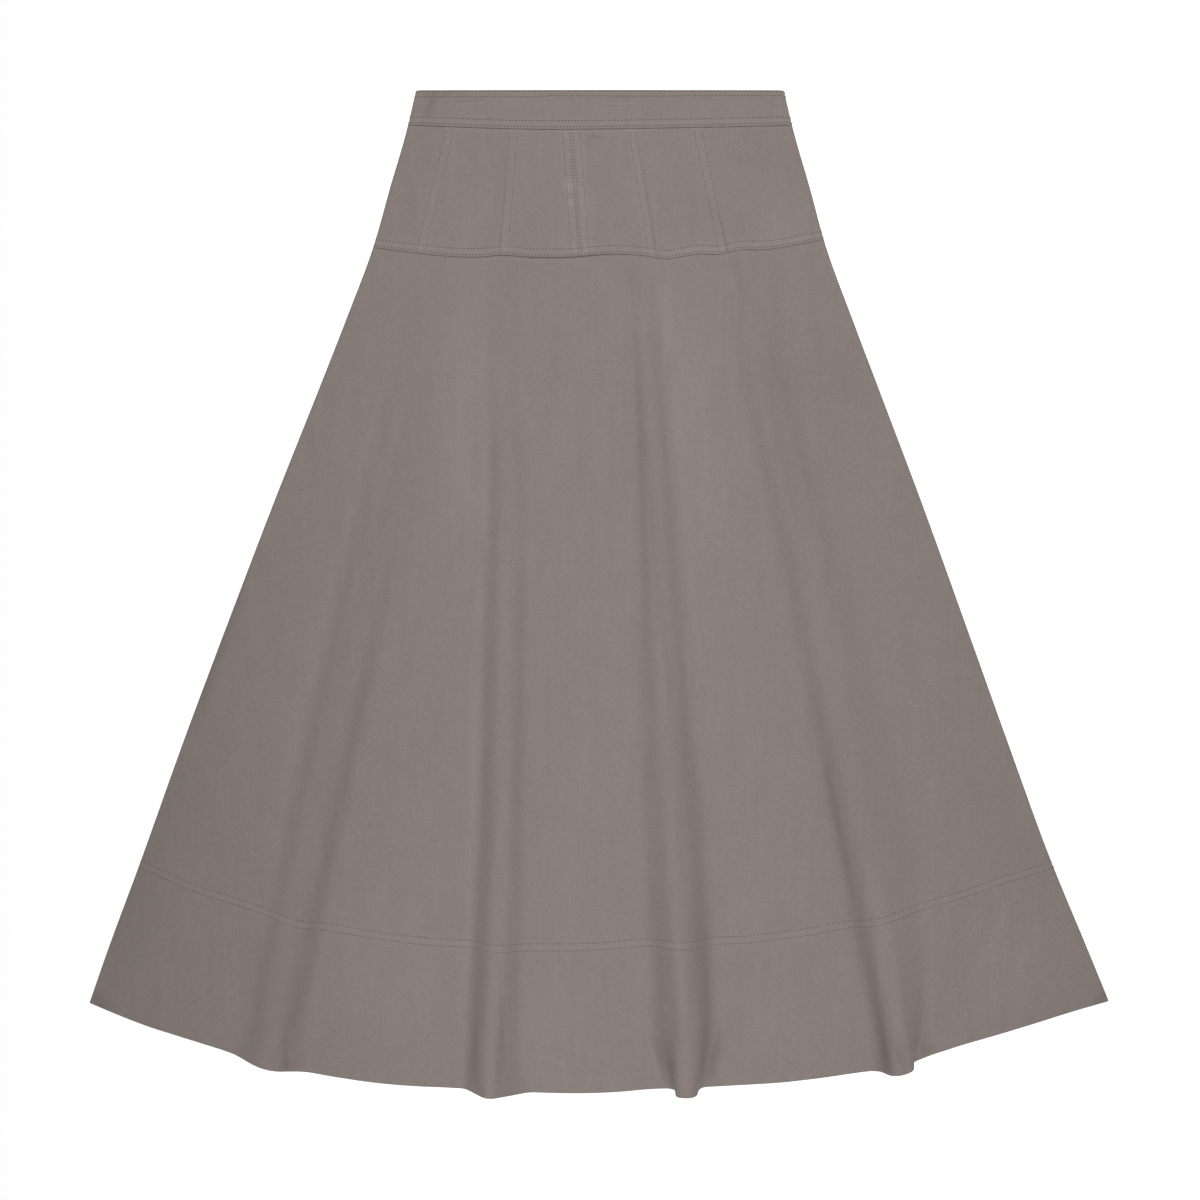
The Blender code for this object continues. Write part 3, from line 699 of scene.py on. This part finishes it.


# Painted light and shade on the band: patches, lighter rows above the seam and lighter ends, darker
# right at the seam.
def band_painted_shading(across, down):
    above = BAND_SEAM_DOWN(across) - down
    inside = numpy.where(across < 0, across + LEFT_HALF(down), RIGHT_HALF(down) - across)
    share = creased(BAND_PAINTED_SHADING, across, down) + trimming(BAND_ROWS_LIGHT, above)
    return share + trimming(BAND_END_SHADE, above) + trimming(BAND_SIDE_LIGHT, inside)


def no_relief(across, down):
    return 0 * across


def row_shares(steps, tight_ends=True):
    """Shares from 0 to 1 that crowd at both ends, where seams and stitches need finer cloth."""
    shares = numpy.linspace(0, 1, steps + 1)
    if not tight_ends:
        return shares
    return shares - END_CROWDING * numpy.sin(2 * numpy.pi * shares) / (2 * numpy.pi)


def down_grid(places, lines, bands):
    """The down of each row at each column: rows run along the lines, with bands between them."""
    downs = []
    for line in lines:
        down = line(numpy.zeros(1))
        for _ in range(LINE_PASSES):
            down = line(places(down)[0])
        downs.append(down)
    rows = [downs[0][None, :]]
    for upper, lower, shares in zip(downs, downs[1:], bands):
        rows.append(upper + (lower - upper) * shares[1:, None])
    return numpy.concatenate(rows, axis=0)


def surface(places, down, base, crowned, relief):
    """Across, down and height of the cloth."""
    across, height, rise = places(down)
    down = down + 0 * across
    level = base + (crown(across, down) if crowned else 0)
    height = EDGE_LIFT + (level - EDGE_LIFT) * rise + height if crowned else level + height
    height = height + relief(across, down) * rise
    return numpy.stack([across - ORIGIN_ACROSS, ORIGIN_DOWN - down, height], axis=-1)


def lay(stretches, lines, bands, base, crowned, relief=no_relief):
    grids = []
    for places in stretches:
        grids.append(surface(places, down_grid(places, lines, bands), base, crowned, relief))
    return numpy.concatenate(grids, axis=1)


def new_mesh(name, points, faces, smooth=True):
    mesh = bpy.data.meshes.new(name)
    sides = faces.shape[1]
    mesh.vertices.add(len(points))
    mesh.vertices.foreach_set("co", points.astype(numpy.float32).ravel())
    mesh.loops.add(faces.size)
    mesh.loops.foreach_set("vertex_index", faces.astype(numpy.int32).ravel())
    mesh.polygons.add(len(faces))
    mesh.polygons.foreach_set("loop_start", numpy.arange(0, faces.size, sides, dtype=numpy.int32))
    mesh.update(calc_edges=True)
    mesh.validate()
    if smooth:
        mesh.shade_smooth()
    thing = bpy.data.objects.new(name, mesh)
    bpy.context.scene.collection.objects.link(thing)
    return thing


def grid_faces(rows, columns):
    corner = numpy.arange(rows * columns).reshape(rows, columns)
    return numpy.stack(
        [corner[:-1, :-1], corner[1:, :-1], corner[1:, 1:], corner[:-1, 1:]], axis=-1
    ).reshape(-1, 4)


def sharpen_rim(mesh, rows, columns):
    """Keeps the light on a cut edge apart from the light on the face beside it."""
    ends = numpy.empty(len(mesh.edges) * 2, dtype=numpy.int32)
    mesh.edges.foreach_get("vertices", ends)
    row, column = numpy.divmod(ends.reshape(-1, 2), columns)
    on_row = (row[:, 0] == row[:, 1]) & numpy.isin(row[:, 0], (0, rows - 1))
    on_column = (column[:, 0] == column[:, 1]) & numpy.isin(column[:, 0], (0, columns - 1))
    sharp = mesh.attributes.new("sharp_edge", "BOOLEAN", "EDGE")
    sharp.data.foreach_set("value", on_row | on_column)


def build_cloth(name, node, grid, wall, material, slot, fade=no_relief):
    points = grid.reshape(-1, 3)
    cloth = new_mesh(name, points, grid_faces(*grid.shape[:2]))
    sharpen_rim(cloth.data, *grid.shape[:2])
    # Painted light and shade: each point's share by which the colour of the cloth is made lighter or
    # darker.
    share = 1 + fade(points[:, 0] + ORIGIN_ACROSS, ORIGIN_DOWN - points[:, 1])
    cloth.data.attributes.new("fade", "FLOAT", "POINT").data.foreach_set("value", share)
    cloth.data.materials.append(material)
    solidify = cloth.modifiers.new("cloth wall", "SOLIDIFY")
    solidify.thickness = wall
    solidify.offset = -1
    solidify.use_even_offset = True
    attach(cloth, "root")
    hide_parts(node)
    return cloth


def front_stretches(roll, steps):
    return [
        rolled_side(-1, roll, ROLL_STEPS),
        flat_stretch(side_line(-1, roll), side_line(1, roll), steps),
        rolled_side(1, roll, ROLL_STEPS),
    ]


def back_stretches(tuck, steps):
    return [flat_stretch(side_line(-1, tuck), side_line(1, tuck), steps, True, True)]


def build_band(material, back_material):
    lines = [level_line(0.0), moved_line(BAND_SEAM_DOWN, -SEWN_GAP / 2)]
    bands = [row_shares(BAND_ROWS)]
    front = lay(front_stretches(BAND_ROLL, BAND_STEPS), lines, bands, BAND_BASE, True, band_relief)
    bands = [row_shares(BACK_BAND_ROWS, False)]
    back = lay(back_stretches(BAND_TUCK, BACK_STEPS), lines, bands, BAND_WALL, False)
    outside = BAND_WALL, material, "band_twill", band_painted_shading
    inside = BAND_WALL, back_material, "band_twill"
    return [
        build_cloth("band_front_cloth", "waistband_front", front, *outside),
        build_cloth("band_back_cloth", "waistband_back", back, *inside),
    ]


def yoke_panel_stretches(number):
    first = number == 0
    last = number == len(PANEL_SEAMS)
    left = side_line(-1, YOKE_ROLL) if first else panel_seam(PANEL_SEAMS[number - 1], PANEL_GAP / 2)
    right = side_line(1, YOKE_ROLL) if last else panel_seam(PANEL_SEAMS[number], -PANEL_GAP / 2)
    stretches = [flat_stretch(left, right, YOKE_STEPS, not first, not last, True)]
    if first:
        stretches.insert(0, rolled_side(-1, YOKE_ROLL, ROLL_STEPS))
    if last:
        stretches.append(rolled_side(1, YOKE_ROLL, ROLL_STEPS))
    return stretches


def build_yoke(materials, back_material):
    lines = [moved_line(BAND_SEAM_DOWN, SEWN_GAP / 2), moved_line(YOKE_SEAM_DOWN, -SEWN_GAP / 2)]
    pieces = []
    for number in range(len(PANEL_SEAMS) + 1):
        bands = [row_shares(YOKE_ROWS)]
        panel = lay(yoke_panel_stretches(number), lines, bands, YOKE_BASE, True, yoke_relief)
        names = f"yoke_cloth_{number + 1}", f"yoke_front_{number + 1}"
        outside = YOKE_FRONT_WALL, materials[number], "yoke_twill", yoke_painted_shading
        pieces.append(build_cloth(*names, panel, *outside))
    lines[1] = moved_line(BACK_YOKE_SEAM_DOWN, -SEAM_GAP / 2)
    bands = [row_shares(BACK_YOKE_ROWS, False)]
    back = lay(back_stretches(YOKE_TUCK, BACK_STEPS), lines, bands, YOKE_BACK_WALL, False)
    outside = YOKE_BACK_WALL, back_material, "yoke_twill"
    return pieces + [build_cloth("yoke_back_cloth", "yoke_back", back, *outside)]


def skirt_stretches():
    flutes = [Flute(rows) for rows in FLUTES]
    swells = [curve(rows, "down", "height") for rows in SWELLS]
    lefts = [side_line(-1, SKIRT_ROLL)] + [flute.foot(1) for flute in flutes]
    rights = [flute.foot(-1) for flute in flutes] + [side_line(1, SKIRT_ROLL)]
    left_grounds = [level_line(0.0)] + [flute.ground_right for flute in flutes]
    right_grounds = [flute.ground_left for flute in flutes] + [level_line(0.0)]
    stretches = [rolled_side(-1, SKIRT_ROLL, ROLL_STEPS)]
    for number, swell in enumerate(swells):
        grounds = left_grounds[number], right_grounds[number]
        ends = lefts[number], rights[number]
        stretches.append(between_flutes(*ends, FLAT_STEPS[number], swell, *grounds))
        if number < len(flutes):
            stretches.append(flutes[number].stretch(FOLD_STEPS))
    stretches.append(rolled_side(1, SKIRT_ROLL, ROLL_STEPS))
    return stretches


def build_skirt(material, back_material):
    top = moved_line(YOKE_SEAM_DOWN, SEWN_GAP / 2)
    lines = [top, HEM_ROW_DOWN, moved_line(HEM_ROW_DOWN, HEM_ROW_SPACING), HEM_DOWN]
    bands = [row_shares(BODY_ROWS), row_shares(HEM_STRIP_ROWS, False), row_shares(HEM_ROWS)]
    front = lay(skirt_stretches(), lines, bands, SKIRT_BASE, True, skirt_relief)
    back_lines = [moved_line(BACK_YOKE_SEAM_DOWN, SEAM_GAP / 2), moved_line(HEM_DOWN, -HEM_TUCK)]
    bands = [row_shares(BACK_SKIRT_ROWS, False)]
    back = lay(back_stretches(SKIRT_TUCK, BACK_STEPS), back_lines, bands, SKIRT_WALL, False)
    outside = SKIRT_WALL, material, "skirt_twill", skirt_painted_shading
    inside = SKIRT_WALL, back_material, "skirt_twill"
    return [
        build_cloth("skirt_front_cloth", "skirt_front", front, *outside),
        build_cloth("skirt_back_cloth", "skirt_back", back, *inside),
    ]


# Stitches.


def unit(vectors):
    return vectors / numpy.linalg.norm(vectors, axis=1)[:, None]


def spaced(points, normals, pitch):
    """Places along a line at one pitch: middle, direction and normal of each."""
    steps = numpy.linalg.norm(numpy.diff(points, axis=0), axis=1)
    run = numpy.concatenate([[0], numpy.cumsum(steps)])
    count = int(run[-1] / pitch)
    wanted = (numpy.arange(count) + 0.5) * run[-1] / count

    def at(places, values):
        return numpy.stack([numpy.interp(places, run, values[:, i]) for i in range(3)], axis=-1)

    along = unit(at(wanted + pitch / 2, points) - at(wanted - pitch / 2, points))
    normal = at(wanted, normals)
    normal = unit(normal - along * (normal * along).sum(axis=1)[:, None])
    return at(wanted, points), along, normal


def row_on(stretches, line, base, relief):
    """Points and normals where a row of stitches, given as a line across, lies on the cloth."""
    here = []
    below = []
    for places in stretches:
        down = down_grid(places, [line], [])
        here.append(surface(places, down, base, True, relief)[0])
        below.append(surface(places, down + PROBE, base, True, relief)[0])
    here = numpy.concatenate(here)
    below = numpy.concatenate(below)
    return here, unit(numpy.cross(below - here, numpy.gradient(here, axis=0)))


def row_down(line, start, end, base, relief):
    """The same for a row that runs down the yoke, given as a line of across by down."""
    down = numpy.linspace(start, end, SEAM_ROW_STEPS)

    def point(across):
        height = base + crown(across, down) + relief(across, down)
        return numpy.stack([across - ORIGIN_ACROSS, ORIGIN_DOWN - down, height], axis=-1)

    here = point(line(down))
    side = point(line(down) + PROBE) - here
    return here, unit(numpy.cross(side, -numpy.gradient(here, axis=0)))


def stitch_rows():
    """Every row: its points, its normals, its pitch and the size of its needle holes."""
    band = front_stretches(BAND_ROLL, ROW_STEPS)
    waist = row_on(band, level_line(WAIST_ROW_DOWN), BAND_BASE, band_relief)
    rows = [(*waist, STITCH_PITCH, WAIST_HOLE_RADIUS)]
    above_seam = [moved_line(BAND_SEAM_DOWN, -above) for above in BAND_ROWS_ABOVE_SEAM]
    for line in [BAND_TOP_ROW_DOWN] + above_seam:
        rows.append((*row_on(band, line, BAND_BASE, band_relief), STITCH_PITCH, BAND_HOLE_RADIUS))
    yoke = front_stretches(YOKE_ROLL, ROW_STEPS)
    for above in YOKE_ROWS_ABOVE_SEAM:
        line = moved_line(YOKE_SEAM_DOWN, -above)
        rows.append((*row_on(yoke, line, YOKE_BASE, yoke_relief), STITCH_PITCH, YOKE_HOLE_RADIUS))
    for pair in PAIRS:
        for offset in pair.rows:
            line = panel_seam(PANEL_SEAMS[pair.seam], offset)
            start = BAND_SEAM_DOWN(line(ROW_TOP_DOWN)) + ROW_END_GAP
            end = YOKE_SEAM_DOWN(line(ROW_BOTTOM_DOWN)) - ROW_END_GAP
            found = row_down(line, start, end, YOKE_BASE, yoke_relief)
            rows.append((*found, YOKE_STITCH_PITCH, YOKE_HOLE_RADIUS))
    for shift in (0.0, HEM_ROW_SPACING):
        line = moved_line(HEM_ROW_DOWN, shift)
        found = row_on(skirt_stretches(), line, SKIRT_BASE, skirt_relief)
        rows.append((*found, STITCH_PITCH, HEM_HOLE_RADIUS))
    return rows


def ring(centre, side, up, radius):
    """Points round each centre, in the plane of side and up."""
    angles = numpy.arange(RING_SIDES) * 2 * numpy.pi / RING_SIDES
    turned = side[:, None] * numpy.cos(angles)[:, None] + up[:, None] * numpy.sin(angles)[:, None]
    return centre[:, None] + turned * radius


def tube_faces(rings):
    """The faces of a tube through so many rings of six points, closed at both ends."""
    faces = []
    last = (rings - 1) * RING_SIDES
    for low in range(0, last, RING_SIDES):
        high = low + RING_SIDES
        for side in range(RING_SIDES):
            turn = (side + 1) % RING_SIDES
            faces.append((low + side, low + turn, high + turn, high + side))
    faces += [(0, 5, 4, 3), (0, 3, 2, 1)]
    faces += [(last, last + 1, last + 2, last + 3), (last, last + 3, last + 4, last + 5)]
    return numpy.array(faces)


def build_tubes(name, rings, material):
    """One mesh of many small tubes: the rings are the first of each tube, then the second of each."""
    points = numpy.concatenate(rings, axis=1)
    count, each = points.shape[:2]
    faces = (numpy.arange(count) * each)[:, None, None] + tube_faces(len(rings))
    piece = new_mesh(name, points.reshape(-1, 3), faces.reshape(-1, 4))
    piece.data.materials.append(material)
    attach(piece, "root")


def build_stitches(material, hole_shade_material):
    """All stitches as one mesh, and the needle holes between them as another, coloured near black as
    painted shade.
    """
    stitches = []
    holes = []
    for points, normals, pitch, hole_radius in stitch_rows():
        middle, along, normal = spaced(points, normals, pitch)
        side = numpy.cross(normal, along)
        half = pitch * STITCH_SHARE / 2
        rings = []
        for place, size, flat, lift in STITCH_RINGS:
            centre = middle + normal * STITCH_RADIUS * lift + along * half * place
            rings.append(ring(centre, side, normal * flat, STITCH_RADIUS * size))
        stitches.append(rings)
        between = middle + along * pitch / 2
        rim = ring(between + normal * HOLE_LIFT, side, along, hole_radius)
        low = ring(between - normal * HOLE_DEPTH, side, along, hole_radius * HOLE_TAPER)
        holes.append([rim, low])
    joined = [numpy.concatenate(rings) for rings in zip(*stitches)]
    build_tubes("topstitching", joined, material)
    joined = [numpy.concatenate(rings) for rings in zip(*holes)]
    build_tubes("needle_holes", joined, hole_shade_material)


# Materials.

DARK_COLOUR = (0.168, 0.144, 0.131)
LIGHT_COLOUR = (0.193, 0.165, 0.151)
# The thread's own lighter colour, raised further as painted light to make up for the shade along its
# sides.
THREAD_COLOUR = (0.247, 0.214, 0.196)
# Near black in the needle holes: painted shade standing in for the shadow inside each hole.
HOLE_SHADE_COLOUR = (0.055, 0.048, 0.044)
TWILL_PITCH = 0.00243
WEAVE_PITCH = 0.0008
THREAD_PERIOD = 0.0005
WAVE_TEXTURE_PERIOD = 2 * numpy.pi / 20
# Each wave texture: its pitch, distortion, detail and the scale of its detail.
WALE_TEXTURE = (TWILL_PITCH, 0.6, 2.0, 2.0)
WEAVE_TEXTURE = (WEAVE_PITCH, 0.8, 2.0, 3.0)
TWIST_TEXTURE = (THREAD_PERIOD, 1.0, 1.0, 1.0)
# Each noise: its scale, detail and roughness.
WARP_NOISE = (70.0, 2.0, 0.5)
GRAIN_NOISE = (560.0, 2.0, 0.6)
STREAK_NOISE = (120.0, 2.0, 0.6)
SLUB_NOISE = (120.0, 2.0, 0.55)
CLOUD_NOISE = (22.0, 3.0, 0.6)
TINT_NOISE = (110.0, 3.0, 0.6)
WARP_REACH = 0.0016
STREAK_DRAW = 0.10
GRAIN_SHARE = 0.78
STREAK_SHARE = 0.24
SLUB_SHARE = 0.18
CLOUD_SHARE = 0.18
WEAVE_SHARE = 0.16
TONE_SPAN = 0.235
WALE_LIFT = 4
GRAIN_LIFT = 1.1
SLUB_LIFT = 0.5
WEAVE_LIFT = 0.5
TWILL_BUMP = (0.35, 0.00022)
TWILL_ROUGHNESS = (0.86, 0.97)
THREAD_BUMP = (0.4, 0.00008)
THREAD_TONES = (0.86, 1.08)
PINK_TINT = (1.0, 0.988, 1.0)
GREEN_TINT = (0.993, 1.0, 0.992)
TINT_ENDS = (0.35, 0.65)
# The angle of the wales and how much they show, for each yoke panel too.
SKIRT_GRAIN = (55, 0.05)
BAND_GRAIN = (52, 0.05)
BACK_GRAIN = (124, 0.05)
YOKE_GRAINS = ((60, 0.04), (58, 0.04), (54, 0.05), (57, 0.05), (54, 0.07), (54, 0.16))
# The back cloth is a darker copy of the same twill: painted shade.
BACK_SHADE = 0.97
FLOOR_COLOUR = (0.96, 0.96, 0.96, 1.0)
WHITE = (1.0, 1.0, 1.0, 1.0)
FLOOR_GLOW = 0.10


class Nodes:
    """A short way to add and link the nodes of one material."""

    def __init__(self, name):
        self.material = bpy.data.materials.new(name)
        self.material.use_nodes = True
        self.tree = self.material.node_tree
        self.shader = self.tree.nodes["Principled BSDF"]

    def add(self, kind, values=None, **settings):
        node = self.tree.nodes.new(kind)
        for key, value in settings.items():
            setattr(node, key, value)
        for key, value in (values or {}).items():
            node.inputs[key].default_value = value
        return node

    def link(self, source, output, target, entry):
        self.tree.links.new(source.outputs[output], target.inputs[entry])

    def maths(self, kind, operation, first, second, entry=1):
        """A node of maths on two outputs, each given as a node and the output's name."""
        node = self.add(kind, operation=operation)
        self.link(*first, node, 0)
        self.link(*second, node, entry)
        return node, 0

    def blend(self, parts):
        """The factors of several textures, each times its weight, added up."""
        total = None
        for source, weight in parts:
            part = self.add("ShaderNodeMath", {1: weight}, operation="MULTIPLY")
            self.link(source, "Fac", part, 0)
            total = self.maths("ShaderNodeMath", "ADD", total, (part, 0)) if total else (part, 0)
        return total

    def ramp(self, source, output, low, high, ends=(0.0, 1.0)):
        """A ramp from one colour to another between two ends of a factor."""
        node = self.add("ShaderNodeValToRGB")
        for element, place, colour in zip(node.color_ramp.elements, ends, (low, high)):
            element.position = place
            element.color = (*colour, 1.0)
        self.link(source, output, node, "Fac")
        return node

    def noise(self, source, output, scale, detail, rough):
        values = {"Scale": scale, "Detail": detail, "Roughness": rough}
        node = self.add("ShaderNodeTexNoise", values)
        self.link(source, output, node, "Vector")
        return node

    def wave(self, source, output, direction, pitch, distortion, detail, detail_scale):
        values = {"Scale": WAVE_TEXTURE_PERIOD / pitch, "Distortion": distortion}
        values.update({"Detail": detail, "Detail Scale": detail_scale})
        node = self.add("ShaderNodeTexWave", values, wave_type="BANDS", bands_direction=direction)
        self.link(source, output, node, "Vector")
        return node

    def bumped(self, source, output, strength, distance):
        bump = self.add("ShaderNodeBump", {"Strength": strength, "Distance": distance})
        self.link(source, output, bump, "Height")
        self.link(bump, "Normal", self.shader, "Normal")

    def finish(self, **values):
        """Sets inputs of the shader, whose names have spaces where these have underscores."""
        for key, value in values.items():
            self.shader.inputs[key.replace("_", " ")].default_value = value
        return self.material


def shaded(colour, shade):
    return tuple(part * shade for part in colour)


def twill(name, angle, wales, shade=1.0):
    """Matt cotton twill whose wales run down to the right at the angle, in degrees below level."""
    nodes = Nodes(name)
    place = nodes.add("ShaderNodeTexCoord")
    turn = nodes.add("ShaderNodeMapping", {"Rotation": (0, 0, numpy.radians(angle))})
    nodes.link(place, "Object", turn, "Vector")
    warp = nodes.noise(turn, "Vector", *WARP_NOISE)
    shift = nodes.add("ShaderNodeVectorMath", {"Scale": WARP_REACH}, operation="SCALE")
    nodes.link(warp, "Color", shift, 0)
    moved = nodes.maths("ShaderNodeVectorMath", "ADD", (turn, "Vector"), (shift, "Vector"))
    wale = nodes.wave(*moved, "Y", *WALE_TEXTURE)
    weave = nodes.wave(*moved, "Y", *WEAVE_TEXTURE)
    drawn = nodes.add("ShaderNodeMapping", {"Scale": (1.0, STREAK_DRAW, 1.0)})
    nodes.link(place, "Object", drawn, "Vector")
    grain = nodes.noise(turn, "Vector", *GRAIN_NOISE)
    streak = nodes.noise(drawn, "Vector", *STREAK_NOISE)
    slub = nodes.noise(turn, "Vector", *SLUB_NOISE)
    cloud = nodes.noise(place, "Object", *CLOUD_NOISE)
    tint = nodes.noise(place, "Object", *TINT_NOISE)
    parts = [(wale, wales), (grain, GRAIN_SHARE), (streak, STREAK_SHARE), (slub, SLUB_SHARE)]
    parts += [(cloud, CLOUD_SHARE), (weave, WEAVE_SHARE)]
    middle = sum(weight for _, weight in parts) / 2
    ends = middle - TONE_SPAN / 2, middle + TONE_SPAN / 2
    colours = shaded(DARK_COLOUR, shade), shaded(LIGHT_COLOUR, shade)
    tone = nodes.ramp(*nodes.blend(parts), *colours, ends)
    hue = nodes.ramp(tint, "Fac", PINK_TINT, GREEN_TINT, TINT_ENDS)
    tinted = nodes.maths("ShaderNodeVectorMath", "MULTIPLY", (tone, "Color"), (hue, "Color"))
    # The painted light and shade of each point scales the colour of the cloth.
    fade = nodes.add("ShaderNodeAttribute", attribute_name="fade")
    painted_shaded_colour = nodes.maths("ShaderNodeVectorMath", "SCALE", tinted, (fade, "Fac"), "Scale")
    nodes.link(*painted_shaded_colour, nodes.shader, "Base Color")
    parts = [(wale, wales * WALE_LIFT), (grain, GRAIN_LIFT), (slub, SLUB_LIFT), (weave, WEAVE_LIFT)]
    nodes.bumped(*nodes.blend(parts), *TWILL_BUMP)
    rough = nodes.add("ShaderNodeMapRange", dict(zip(("To Min", "To Max"), TWILL_ROUGHNESS)))
    nodes.link(slub, "Fac", rough, "Value")
    nodes.link(rough, "Result", nodes.shader, "Roughness")
    return nodes.finish(Specular_IOR_Level=0.22, Sheen_Weight=0.06, Sheen_Roughness=0.5)


def thread(name, colour):
    """Twisted sewing thread."""
    nodes = Nodes(name)
    place = nodes.add("ShaderNodeTexCoord")
    twist = nodes.wave(place, "Object", "DIAGONAL", *TWIST_TEXTURE)
    tone = nodes.ramp(twist, "Fac", *[shaded(colour, shade) for shade in THREAD_TONES])
    nodes.link(tone, "Color", nodes.shader, "Base Color")
    nodes.bumped(twist, "Fac", *THREAD_BUMP)
    return nodes.finish(Roughness=0.7, Specular_IOR_Level=0.3)


def floor_material():
    nodes = Nodes("pale_floor")
    nodes.finish(Base_Color=FLOOR_COLOUR, Emission_Color=WHITE, Emission_Strength=FLOOR_GLOW)
    return nodes.finish(Roughness=0.9, Specular_IOR_Level=0.1)


# Stage.

WORLD_LIGHT = 0.42
LAMP_PLACE = (0.05, -0.02, 1.8)
LAMP_TARGET = (0.05, -0.02, 0.0)
LAMP_SIZE = (1.1, 3.2)
LAMP_POWER = 12.3
LAMP_SPREAD = 58
CAMERA_HEIGHT = 1.5
SENSOR = 0.036
FRAME_WIDTH = 1.0997
VIEW_ACROSS = 0.0008
VIEW_ALONG = -0.0081
FLOOR_SIDE = 30.0


def build_lamp():
    light = bpy.data.lights.new("strip_overhead", "AREA")
    light.shape = "RECTANGLE"
    light.size, light.size_y = LAMP_SIZE
    light.energy = LAMP_POWER
    light.spread = numpy.radians(LAMP_SPREAD)
    lamp = bpy.data.objects.new("strip_overhead", light)
    bpy.context.scene.collection.objects.link(lamp)
    lamp.location = LAMP_PLACE
    way = Vector(LAMP_TARGET) - Vector(LAMP_PLACE)
    lamp.rotation_euler = way.to_track_quat("-Z", "Y").to_euler()


def build_stage():
    half = FLOOR_SIDE / 2
    corners = numpy.array([(-half, -half, 0), (half, -half, 0), (half, half, 0), (-half, half, 0)])
    floor = new_mesh("floor", corners, numpy.array([(0, 1, 2, 3)]), False)
    floor.data.materials.append(floor_material())
    world = bpy.data.worlds.new("studio")
    bpy.context.scene.world = world
    world.use_nodes = True
    background = world.node_tree.nodes["Background"]
    background.inputs["Color"].default_value = WHITE
    background.inputs["Strength"].default_value = WORLD_LIGHT
    build_lamp()
    camera = bpy.data.cameras.new("camera")
    camera.sensor_width = SENSOR * 1000
    camera.lens = SENSOR * 1000 * CAMERA_HEIGHT / FRAME_WIDTH
    camera.clip_start = 0.05
    viewer = bpy.data.objects.new("camera", camera)
    bpy.context.scene.collection.objects.link(viewer)
    viewer.location = (VIEW_ACROSS, VIEW_ALONG, CAMERA_HEIGHT)
    bpy.context.scene.camera = viewer
    bpy.context.scene.view_settings.view_transform = "Standard"


def main():
    bpy.context.scene.unit_settings.scale_length = 1.0
    skirt_cloth = twill("skirt_twill_cloth", *SKIRT_GRAIN)
    yoke_cloths = []
    for number, grain in enumerate(YOKE_GRAINS):
        yoke_cloths.append(twill(f"yoke_twill_cloth_{number + 1}", *grain))
    band_cloth = twill("band_twill_cloth", *BAND_GRAIN)
    back_cloth = twill("back_twill_cloth", *BACK_GRAIN, BACK_SHADE)
    pieces = build_band(band_cloth, back_cloth)
    pieces += build_yoke(yoke_cloths, back_cloth)
    pieces += build_skirt(skirt_cloth, back_cloth)
    build_stitches(thread("thread_tone", THREAD_COLOUR), thread("needle_hole_shade", HOLE_SHADE_COLOUR))
    build_stage()


main()
